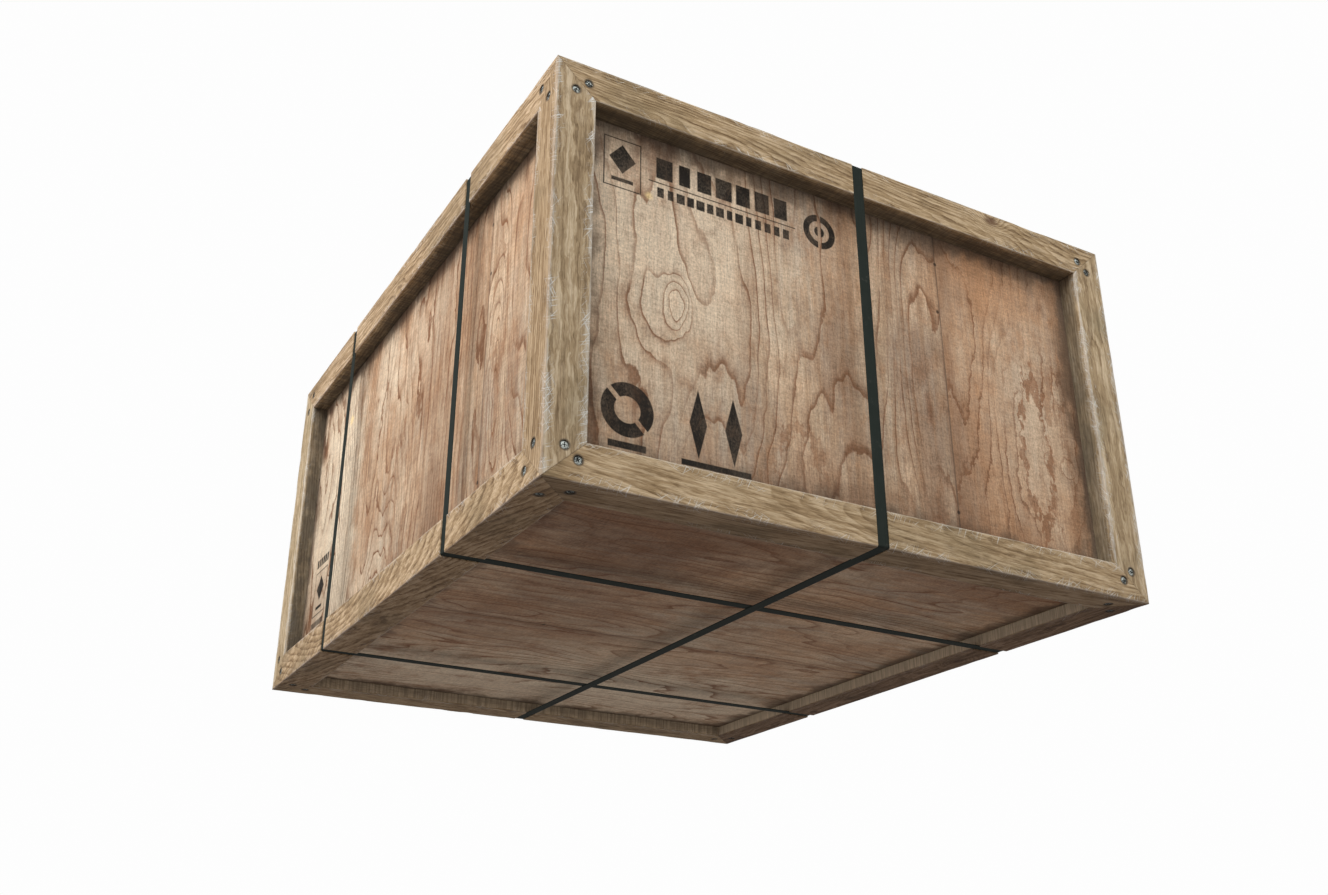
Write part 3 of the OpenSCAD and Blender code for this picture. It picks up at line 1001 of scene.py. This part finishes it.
def block(a, b, centre, half):
    """1 inside a rectangle."""
    outside = most(abs(a - centre[0]) - half[0], abs(b - centre[1]) - half[1])
    return fit(outside, -MARK_SOFT, MARK_SOFT, 1.0, 0.0)


def lozenge(a, b, centre, half):
    soft = MARK_SOFT / min(half)
    return fit(abs(a - centre[0]) / half[0] + abs(b - centre[1]) / half[1], 1 - soft, 1 + soft, 1.0, 0.0)


def ring_mark(a, b, centre, outer, inner):
    gap = distance(xyz(a, b, 0.0), (*centre, 0.0))
    return (fit(gap, outer - MARK_SOFT, outer + MARK_SOFT, 1.0, 0.0)
            * fit(gap, inner - MARK_SOFT, inner + MARK_SOFT))


def target(a, b, centre):
    """A ring and a dot, parted by an upright slit."""
    rings = most(ring_mark(a, b, centre, 0.029, 0.018), ring_mark(a, b, centre, 0.009, -0.01))
    return rings * (1.0 - block(a, b, centre, (0.0028, 0.05)))


def wheel(a, b, centre):
    """A ring parted by a slanting slit."""
    slit = block(a + b, b, (centre[0] + centre[1], -0.16), (0.0048, 0.06))
    return ring_mark(a, b, centre, 0.0385, 0.019) * (1.0 - slit)


def outline(a, b, centre, half, line):
    hole = block(a, b, centre, (half[0] - line, half[1] - line))
    return calc("SUBTRACT", block(a, b, centre, half), hole, clamp=True)


def block_row(a, b, centre, half, count, seed):
    """A row of plain upright blocks of uneven width."""
    cell = (a - (centre[0] - half[0])) / (2 * half[0] / count)
    pick = add("TexWhiteNoise", {"W": calc("FLOOR", cell) + seed}, "Value", noise_dimensions="1D")
    inside = abs(fract(cell) - 0.5) - fit(pick, 0.0, 1.0, 0.28, 0.42)
    return fit(inside, -0.03, 0.03, 1.0, 0.0) * block(a, b, centre, half)


# Plain shapes that stand for nothing, placed from the panel's middle (across, up)
MARKS = {
    "front_panel": [
        (outline, (-0.386, 0.195), (0.0295, 0.041), 0.0018), (lozenge, (-0.386, 0.203), (0.021, 0.024)),
        (block, (-0.386, 0.168), (0.017, 0.003)), (block, (-0.2205, 0.184), (0.124, 0.0009)),
        (block_row, (-0.2205, 0.209), (0.115, 0.0172), 7, 3.0),
        (block_row, (-0.2195, 0.1685), (0.114, 0.008), 14, 11.0),
        (target, (-0.0525, 0.1925)), (wheel, (-0.3735, -0.179)),
        (block, (-0.3735, -0.2295), (0.0275, 0.0048)),
        (lozenge, (-0.2680, -0.175), (0.0135, 0.050)), (lozenge, (-0.2130, -0.175), (0.0135, 0.050)),
        (block, (-0.2405, -0.2330), (0.0535, 0.0042))],
    "left_panel": [
        (outline, (0.4430, -0.1560), (0.0365, 0.0430), 0.0018), (lozenge, (0.4430, -0.1480), (0.022, 0.024)),
        (block, (0.4430, -0.1850), (0.018, 0.003)), (block_row, (0.4430, -0.0950), (0.0365, 0.0080), 6, 5.0),
        (block_row, (0.4430, -0.2160), (0.0365, 0.0055), 9, 8.0)],
}


# ---- plywood

# Figures in the veneer: (across, along, half width, half length, growth rings) from the panel's middle
FIGURES = {
    "front_panel": [(-0.299, 0.0, 0.018, 0.04, 3.2), (-0.34, -0.035, 0.05, 0.055, 1.7),
        (-0.125, -0.28, 0.058, 0.165, 4.6), (0.415, -0.095, 0.01, 0.012, 1.4)],
    "left_panel": [(0.03, -0.22, 0.055, 0.21, 5.5), (0.12, -0.3, 0.05, 0.16, 5.5),
        (-0.37, -0.1, 0.03, 0.16, 4.5), (0.2, 0.1, 0.05, 0.22, -3.0), (0.37, -0.05, 0.04, 0.2, 3.0),
        (-0.2, 0.16, 0.04, 0.16, 2.6)],
    "floor_panel": [(-0.03, -0.38, 0.05, 0.22, 3.4), (-0.25, 0.18, 0.06, 0.26, 2.4),
        (0.26, 0.15, 0.07, 0.3, 3.2)],
    "back_panel": [(0.18, -0.15, 0.06, 0.24, 4.0), (-0.05, 0.12, 0.05, 0.16, 2.8),
        (-0.36, -0.1, 0.05, 0.22, 3.0)],
    "right_panel": [(-0.25, -0.1, 0.06, 0.25, 4.0), (0.05, 0.15, 0.06, 0.16, 3.0),
        (0.38, -0.16, 0.05, 0.22, 3.2)],
    "lid_panel": [(-0.34, 0.0, 0.06, 0.32, 4.0), (0.1, -0.2, 0.07, 0.3, 3.4), (0.38, 0.2, 0.06, 0.26, 3.0)],
}
# Broken brown outlines: (across, along, half width, half length, strength) from the panel's middle
OUTLINES = {
    "front_panel": [(0.343, -0.08, 0.028, 0.12, 1.0), (0.366, -0.09, 0.007, 0.012, 1.0),
        (0.362, -0.24, 0.02, 0.055, 0.9), (0.392, -0.13, 0.022, 0.15, 0.5),
        (-0.1, -0.225, 0.036, 0.075, 0.6)],
    "left_panel": [(0.03, -0.12, 0.03, 0.11, 0.6), (-0.37, 0.05, 0.025, 0.12, 0.5)],
    "right_panel": [(0.2, 0.05, 0.03, 0.11, 0.8)],
    "back_panel": [(-0.2, -0.05, 0.03, 0.13, 0.8)],
}
# Lean to orange, brightness, strength of the grain lines, how much more orange the sheet is beyond the
# joint, strength of the short dark flecks, growth rings per metre, and how ragged those are on either
# side of the joint
TONES = {
    "front_panel": (-0.22, 0.97, 0.75, 0.54, 0.2, 18.0, 0.24, 0.85),
    "left_panel": (-0.1, 1.13, 1.0, 0.2, 0.45, 36.0, 0.14, 0.39),
    "floor_panel": (0.0, 1.05, 0.65, 0.0, 0.3, 28.0, 0.12, 0.3),
    "back_panel": (-0.05, 1.0, 0.75, 0.3, 0.35, 26.0, 0.22, 0.6),
    "right_panel": (-0.05, 1.0, 0.75, 0.25, 0.4, 28.0, 0.15, 0.42),
    "lid_panel": (-0.1, 0.95, 0.75, 0.35, 0.25, 24.0, 0.22, 0.6),
}
# Pale patches: (across, along, half width, half length, strength) from the panel's middle
BLEACHED = {
    "front_panel": [(-0.32, 0.09, 0.23, 0.27, 0.66), (0.33, -0.03, 0.11, 0.2, 0.34)],
    "left_panel": [(0.45, 0.0, 0.14, 0.34, 0.8), (0.34, -0.06, 0.11, 0.44, 0.95),
        (0.14, 0.16, 0.08, 0.15, 0.6), (0.34, -0.24, 0.14, 0.16, 0.5), (0.13, -0.22, 0.1, 0.12, 0.5),
        (-0.05, 0.14, 0.2, 0.12, 0.4)],
    "floor_panel": [(0.1, 0.0, 0.25, 0.2, 0.3), (0.38, 0.0, 0.26, 0.7, 0.8)],
    "back_panel": [(0.25, 0.1, 0.2, 0.2, 0.35)],
    "right_panel": [(-0.25, 0.1, 0.2, 0.2, 0.35)],
    "lid_panel": [(-0.2, 0.1, 0.25, 0.3, 0.35)],
}
# Stains, and bands of painted shade along the panels' recess edges: (tint, across, along, half width, half
# length, strength) from the panel's middle
STAINS_AND_SHADE = {
    # On the front panel the wide dark band along the bottom and the narrow one along the right border are
    # painted shade; the rest are stains.
    "front_panel": [(PLY_STAIN_AND_SHADE, 0.02, -0.27, 0.42, 0.09, 0.48), (PLY_STAIN_AND_SHADE, -0.03, 0.0, 0.05, 0.12, 0.42),
        (PLY_STAIN_AND_SHADE, 0.2, -0.17, 0.04, 0.2, 0.3), (PLY_STAIN_AND_SHADE, 0.22, 0.2, 0.06, 0.1, 0.3),
        (PLY_STAIN_AND_SHADE, 0.135, -0.13, 0.055, 0.18, 0.44), (PLY_STAIN_AND_SHADE, 0.135, 0.04, 0.055, 0.08, 0.36),
        (PLY_ORANGE, 0.3, 0.2, 0.14, 0.07, 0.5), (PLY_STAIN_AND_SHADE, 0.435, 0.0, 0.035, 0.4, 0.45),
        (PLY_STAIN_AND_SHADE, 0.08, 0.1, 0.03, 0.2, 0.25), (PLY_STAIN_AND_SHADE, -0.18, -0.04, 0.03, 0.25, 0.22),
        (STAIN_YELLOW, -0.344, 0.157, 0.009, 0.009, 0.7)],
    "left_panel": [(PLY_STAIN_AND_SHADE, -0.25, 0.1, 0.04, 0.3, 0.25), (PLY_STAIN_AND_SHADE, -0.14, -0.2, 0.08, 0.13, 0.42),
        (PLY_STAIN_AND_SHADE, -0.15, 0.0, 0.1, 0.9, 0.3), (PLY_STAIN_AND_SHADE, 0.46, -0.2, 0.1, 0.12, 0.34),
        (PLY_STAIN_AND_SHADE, 0.0, -0.02, 0.08, 0.08, 0.2), (STAIN_YELLOW, 0.346, 0.156, 0.012, 0.01, 0.7)],
    "floor_panel": [(PLY_STAIN_AND_SHADE, -0.5, -0.28, 0.2, 0.4, 0.6), (PLY_STAIN_AND_SHADE, -0.52, 0.34, 0.17, 0.34, 0.46),
        (PLY_STAIN_AND_SHADE, -0.2, -0.24, 0.24, 0.18, 0.32), (PLY_STAIN_AND_SHADE, -0.36, -0.26, 0.13, 0.24, 0.4),
        (PLY_STAIN_AND_SHADE, 0.04, -0.25, 0.22, 0.26, 0.26)],
    # The dark bands along the bottom of the back and right panels are painted shade too.
    "back_panel": [(PLY_STAIN_AND_SHADE, 0.1, -0.27, 0.45, 0.08, 0.35)],
    "right_panel": [(PLY_STAIN_AND_SHADE, 0.1, -0.27, 0.5, 0.08, 0.35)],
    "lid_panel": [(PLY_STAIN_AND_SHADE, 0.3, 0.1, 0.1, 0.2, 0.3)],
}
PATCH_RIM = (0.25, 1.15)  # where a patch's edge begins and ends, as a share of its oval
NAILS = (0.205, 0.118, -0.214)  # places of the small nails along each veneer joint
NAIL_RIM = (0.0018, 0.0042)  # where the dark round a nail begins to fade and ends
SEAM_DIRT = (0.010, 0.028)  # width of the dull band before a joint, and how much wider it is beyond
PLY_PAIR = 4.8 * MM  # thickness of two plies


def oval(flat, across, along, half_across, half_along):
    """Distance from a centre in a sheet, 1 at the rim of an oval."""
    scale = (1 / half_across, 1 / half_along, 0)
    return length(stretch(flat, scale, (-across / half_across, -along / half_along, 0)))


def plywood(node):
    """Rotary-cut veneer: contour lines of a slow height field, with figures, fibre, stains and grime."""
    material = new_material(node + "_ply")
    rng = seeded(node + "veneer")
    thin, across, along = sheet_axes(node)
    lo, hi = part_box(node)
    axes = split(place_of())
    a, b, t = axes[across], axes[along], axes[thin]
    seed = tuple(float(v) for v in rng.rand(3) * 60)
    flip = seed[::-1]
    seam = SEAMS[node]
    warmth, depth, bold, warmer, flecked, rings_across, rough_near, rough_far = TONES[node]
    beyond = calc("GREATER_THAN", a, seam)
    flat = xyz(a, b, beyond * 7.3)

    # height field, in growth rings
    slow = noise(flat, (5.2, 1.4, 1), seed, 1.0)
    middle = noise(flat, (15, 3.4, 1), flip, 2.0, 0.45)
    ragged = noise(flat, (75, 42, 1), seed, 4.0, 0.62)
    height = (a * rings_across + slow * 15.0 + middle * 3.6
              + ragged * (rough_near + beyond * (rough_far - rough_near)))
    warp_a = (noise(flat, (26, 17, 1), seed) - 0.5) * 0.026
    warp_b = (noise(flat, (21, 13, 1), flip) - 0.5) * 0.040
    bent = xyz(a + warp_a, b + warp_b, 0.0)
    figured = 0.0
    for *place, rings in FIGURES[node]:
        gap = oval(bent, *place)
        hump = calc("EXPONENT", gap * gap * -0.9)
        height = height + hump * rings
        figured = most(figured, hump)
    rings = fract(height)
    trailing = fit(rings, 0.955, 1.0, 1.0, 0.0)
    line = fit(rings, 0.79, 0.94) * trailing
    fade = rings ** 3.4 * trailing
    present = noise(flat, (11, 5, 1), flip)
    strength = most(fit(present, 0.34, 0.58, 0.22, 1.0), fit(figured, 0.12, 0.5))

    # broken outlines
    tinge = noise(flat, (38, 22, 1), flip, 4, 0.65)
    line_width = fit(tinge, 0.44, 0.60, 0.05, 0.34)
    torn = ragged * 1.3 + middle * 0.7 - 1.0
    outlined, within = 0.0, 0.0
    for *place, share in OUTLINES.get(node, ()):
        gap = oval(flat, *place) + torn
        outlined = most(outlined, fit(abs(gap - 1.0) / line_width, 0.5, 1.0, share, 0.0))
        within = most(within, fit(gap, 0.8, 1.0, share, 0.0))

    # fibre, patches and stains
    fibre = noise(flat, (480, 20, 1), seed, 4, 0.6)
    streak = noise(flat, (95, 6, 1), flip, 3, 0.55)
    mottle = noise(flat, (360, 240, 1), seed, 4, 0.7)
    weave = noise(flat, (70, 430, 1), flip, 3, 0.65)
    smear = noise(flat, (7, 80, 1), seed, 3, 0.6)
    flecks = noise(flat, (130, 15, 1), seed, 5, 0.7)
    bands = noise(flat, (44, 4.5, 1), flip, 4, 0.6)
    cloud = noise(flat, (6, 4.5, 1), seed, 3, 0.55)
    warm = noise(flat, (9, 3.2, 1), flip, 3, 0.6)
    smudge = noise(flat, (24, 18, 1), seed, 4, 0.6)
    dashes = fit(noise(flat, (650, 60, 1), seed, 1), 0.62, 0.72)
    frayed = smudge * 1.6 - 0.8

    toward = fit(warm, 0.40, 0.64, 0.0, 0.55) + beyond * warmer + warmth
    colour = layers(PLY_PALE, (fit(cloud, 0.36, 0.62), PLY_GREY),
                    (fit(streak, 0.34, 0.66, 0.0, 0.80), PLY_MID),
                    (add("Clamp", {"Value": toward, "Max": 0.9}), PLY_ORANGE),
                    (fit(tinge, 0.50, 0.68, 0.0, 0.42), PLY_ORANGE),
                    (fit(tinge, 0.48, 0.32, 0.0, 0.28), PLY_GREY))
    clean = 1.0
    for *place, amount in BLEACHED[node]:
        gap = oval(flat, *place) + frayed
        colour = mix(fit(gap, *PATCH_RIM, amount, 0.0), colour, PLY_BLEACHED)
        clean = least(clean, fit(gap, *PATCH_RIM, 1.0 - amount, 1.0))
    colour = layers(colour, (fade * strength * 0.60, PLY_RUST), (line * strength * bold, PLY_LINE),
                    (within * 0.30, PLY_PALE), (outlined * 0.78, PLY_RUST),
                    (fit(bands, 0.46, 0.62, 0.0, 0.8 * flecked) * clean, PLY_RUST),
                    (fit(bands, 0.48, 0.34, 0.0, 0.8 * flecked), PLY_PALE),
                    (fit(flecks, 0.50, 0.64, 0.0, flecked) * clean, PLY_LINE),
                    (fit(smudge, 0.52, 0.74, 0.0, 0.34), PLY_LINE))
    for tint, *place, amount in STAINS_AND_SHADE[node]:
        colour = mix(fit(oval(flat, *place) + frayed, *PATCH_RIM, amount, 0.0), colour, tint)
    grain = (depth - 1.10 + fibre * 0.86 + fit(mottle, 0.3, 0.7) * 0.40 + weave * 0.66 + smear * 0.34
             + beyond * 0.04)
    colour = mix(dashes * 0.32, dim(colour, grain), PLY_LINE)

    # veneer joint: dull band, dark hairline and small nails
    from_seam = abs(a - seam)
    width = SEAM_DIRT[0] + beyond * SEAM_DIRT[1]
    band = fit(from_seam / width, 0.0, 1.0, 1.0, 0.0) * fit(smudge, 0.3, 0.7, 0.2, 0.6)
    face = xyz(a, b, 0.0)
    nails = most(*[spot(face, (seam - 0.004 * (k % 2), up, 0.0), *NAIL_RIM)
                   for k, up in enumerate(NAILS)])
    colour = layers(colour, (band, PLY_LINE), (fit(from_seam, 0.0005, 0.0018, 0.5, 0.0), GRIME_AND_SHADE),
                    (nails * 0.8, NAIL_RUST))

    # printed marks, thin and patchy where the ink has worn
    if node in MARKS:
        mark = most(*[shape(a, b, *rest) for shape, *rest in MARKS[node]])
        middle_of = (lo[thin] + hi[thin]) / 2 - MID[thin]
        outside = calc("GREATER_THAN" if middle_of > 0 else "LESS_THAN", t, middle_of)
        ink = fit(smudge * 0.6 + mottle * 0.4, 0.42, 0.66, 1.0, 0.84) * mark
        colour = mix(ink * outside, colour, INK)

    # painted shade towards the bars, plies on the cut edges
    border = least(*[HALF[k] - CORNER[k] - abs(axes[k]) for k in (across, along)])
    spread = fit(smudge, 0.3, 0.7, 0.010, 0.060)
    # painted shade: the panel darkens within a few centimetres of the bars round it
    colour = mix(fit(border / spread, 0.0, 1.0, 1.0, 0.0) * 0.66, colour, GRIME_AND_SHADE)
    plies = fit(fract(t / PLY_PAIR), 0.45, 0.55, 0.55, 1.0)
    normal = split(add("NewGeometry", {}, "True Normal"))
    on_edge = calc("LESS_THAN", abs(normal[thin]), 0.4)
    colour = darker_below(axes[2], mix(on_edge, colour, dim(PLY_MID, plies)))

    rough = 0.60 + fibre * 0.2 + mottle * 0.12
    relief = fibre * 0.8 - line * 0.35 - dashes * 0.5 - nails * 2.0
    return surface(material, colour, rough, [(relief, 0.4, 0.0005), (mottle, 0.2, 0.0008)])


# ---- straps, screws and seals

def strap_plastic(node):
    """Dark green satin strapping with a fine embossed lattice and a little dust."""
    material = new_material(node + "_plastic")
    along, across = strap_axes(node)
    where = place_of()
    axes = split(where)
    side, run = axes[across], axes[along] + axes[2]
    lattice = most(*[abs(calc("SINE", (run + side * s) * LATTICE)) for s in (1.0, -1.0)])
    haze = noise(where, 35, detail=4, rough=0.6)
    scuff = fit(noise(where, (60, 60, 60), detail=5, rough=0.7), 0.58, 0.72)
    lines = noise(xyz(side, run, 0.0), (900, 7, 1), detail=3)
    colour = layers(STRAP_GREEN, (fit(haze, 0.35, 0.75), STRAP_FADED),
                    (fit(lines, 0.4, 0.8) * 0.3, STRAP_DARK), (scuff * 0.22, DUST))
    rough = 0.46 + haze * 0.22 + scuff * 0.15
    return surface(material, colour, rough, [(lattice, 0.25, 0.0002), (lines, 0.1, 0.0002)], specular=0.02)


def metal(name, tint, dull):
    """Zinc-plated steel with painted glints, patches of its plain colour among darker ones, dirt in the
    hollows and a little rust.
    """
    material = new_material(name)
    where = add("TexCoord", {}, "Object")
    glint_noise = noise(where, 260, detail=4, rough=0.6)
    fine = noise(where, 1400, detail=3, rough=0.6)
    rust = fit(noise(where, 150, detail=5, rough=0.7), 0.60, 0.72)
    hollow = add("AmbientOcclusion", {"Distance": 0.003}, "AO", samples=6)
    # painted glints: the plain colour shows in patches and is darkened between them
    colour = layers(tint, (fit(glint_noise, 0.46, 0.57), tuple(v * UNGLINTED_SHARE for v in tint)),
                    (fit(hollow, 0.35, 0.95, 0.85, 0.0), SCREW_DIRT), (rust * 0.5, RUST))
    rough = dull + glint_noise * 0.25 + rust * 0.25
    return surface(material, colour, rough, [(fine, 0.3, 0.0002), (glint_noise, 0.6, 0.0012)],
                   fit(rust, 0.0, 1.0, 0.85, 0.2), 0.5)


# ---- pieces

def make_bars():
    grooves = groove_cutter()
    holes = hole_cutters()
    seats = {axis: seat_cutter([n for n in STRAPS if n.endswith("upper") and strap_axes(n)[0] == axis])
             for axis in (0, 1)}
    for node in RAILS + POSTS:
        bar = bar_mesh(node)
        along = bar_axes(node)[0]
        cutters = [grooves] + holes
        if along < 2:
            cutters.append(seats[1 - along])
        cut(bar, cutters)
        finish_piece(bar, node, timber(node))
    remove([grooves] + holes + list(seats.values()))


def make_panels():
    for node in PANELS:
        finish_piece(sheet_mesh(node), node, plywood(node))


def make_straps():
    for node in STRAPS:
        finish_piece(strap_mesh(node), node, strap_plastic(node), 50)


def make_screws():
    plated = metal("screw_zinc", ZINC, 0.28)
    # a darker copy of the zinc, painted shade for the screws on the underside
    shaded_zinc = metal("screw_zinc_shaded", tuple(v * UNDERSIDE_SCREW_SHADE for v in ZINC), 0.45)
    for node in SCREWS:
        places = screw_places(node)
        masters = {}
        for _, length in places:
            key = round(length, 4)
            if key not in masters:
                masters[key] = screw_master(length)
        rng = seeded(node)
        turned = [matrix @ Matrix.Rotation(float(rng.uniform(0, math.pi / 2)), 4, "Z")
                  for matrix, _ in places]
        screws = copies(node + "_set", [masters[round(length, 4)].data for _, length in places], turned)
        remove(masters.values())
        finish_piece(screws, node, shaded_zinc if "underside" in node else plated)


def make_seals():
    seals = NODES["strap_seals"]
    ease = seals.modifiers.new("ease", "BEVEL")
    ease.width = SEAL_EASE
    ease.segments = 2
    ease.limit_method = "ANGLE"
    seals.data.materials.clear()
    seals.data.materials.append(metal("seal_steel_finish", SEAL_STEEL, 0.32))


# ---- stage

VIEW_AZIMUTH = -29.72  # degrees; negative is towards the crate's left
VIEW_ELEVATION = -24.05  # degrees; the crate is seen from below
VIEW_DISTANCE = 2.380
AIM_OFFSET = Vector((-0.0113, -0.0233, 0.0580))  # point looked at, from the crate's middle
LENS = 35.995
FLOOR_SIZE = 30.0
FLOOR_DROP = 0.5 * MM
FLOOR_FADE = (1.2, 4.0)  # the floor turns into the white backdrop between these distances
FLOOR_PALE = (0.93, 0.93, 0.93)
WHITE = (0.985, 0.985, 0.985)  # backdrop
LIGHT_BELOW, LIGHT_ABOVE = 0.20, 1.05  # strength of the surrounding light
TINT_BELOW, TINT_ABOVE = (1.08, 0.95, 0.90), (1.0, 0.99, 0.97)
# Area lights: azimuth, elevation, distance, size, power
LIGHTS = {"key": (-56, 38, 7.0, 5.3, 365), "fill": (140, 30, 4.0, 3.0, 45)}


def direction(azimuth, elevation):
    """From the crate towards a viewer; azimuth 0 is in front of it."""
    a, e = math.radians(azimuth), math.radians(elevation)
    return Vector((math.sin(a) * math.cos(e), -math.cos(a) * math.cos(e), math.sin(e)))


def make_camera():
    camera = link("camera", bpy.data.cameras.new("camera"))
    back = direction(VIEW_AZIMUTH, VIEW_ELEVATION)
    camera.data.lens = LENS
    camera.data.sensor_width = 36
    camera.location = MID + AIM_OFFSET + back * VIEW_DISTANCE
    camera.rotation_mode = "QUATERNION"
    camera.rotation_quaternion = (-back).to_track_quat("-Z", "Y")
    camera.data.clip_start = 0.01
    bpy.context.scene.camera = camera


def make_light(name, azimuth, elevation, distance, size, power):
    light = link(name, bpy.data.lights.new(name, "AREA"))
    back = direction(azimuth, elevation)
    light.location = MID + back * distance
    light.rotation_mode = "QUATERNION"
    light.rotation_quaternion = back.to_track_quat("Z", "Y")
    light.data.shape = "DISK"
    light.data.size = size
    light.data.energy = power


def make_world():
    """White to the camera; to everything else, light that falls off from above to below."""
    bpy.context.scene.world = begin(bpy.data.worlds.new("studio"))
    up = split(add("TexCoord", {}, "Generated"))[2]
    level = add("MapRange", {"Value": up, "From Min": -1, "To Min": LIGHT_BELOW, "To Max": LIGHT_ABOVE},
                "Result")
    cast = add("Background", {"Color": mix(level, TINT_BELOW, TINT_ABOVE), "Strength": level})
    seen = add("Background", {"Color": WHITE})
    shown = add("MixShader", {0: add("LightPath", {}, "Is Camera Ray"), 1: cast, 2: seen})
    add("OutputWorld", {0: shown}, None)


def make_floor():
    """A plain pale floor, seen from above only, so that the low camera still sees the crate's base."""
    half = FLOOR_SIZE / 2
    z = CAD_LO.z - FLOOR_DROP
    floor = new_object("floor", [(-half, -half, z), (half, -half, z), (half, half, z), (-half, half, z)],
                       [(0, 1, 2, 3)])
    if floor.data.polygons[0].normal.z < 0:
        floor.data.flip_normals()
    floor.data.materials.append(new_material("floor_pale"))
    paint = add("BsdfDiffuse", {"Color": FLOOR_PALE})
    glow = add("Emission", {"Color": WHITE})
    away = length(add("TexCoord", {}, "Object"))
    paint = add("MixShader", {0: fit(away, *FLOOR_FADE), 1: paint, 2: glow})
    clear = add("BsdfTransparent", {})
    behind = add("NewGeometry", {}, "Backfacing")
    add("OutputMaterial", {"Surface": add("MixShader", {0: behind, 1: paint, 2: clear})}, None)
    floor.visible_diffuse = False
    floor.visible_glossy = False
    floor.visible_transmission = False
    floor.visible_shadow = False


make_bars()
make_panels()
make_straps()
make_screws()
make_seals()
make_camera()
make_world()
for name, settings in LIGHTS.items():
    make_light(name, *settings)
make_floor()
bpy.context.scene.view_settings.view_transform = "Standard"
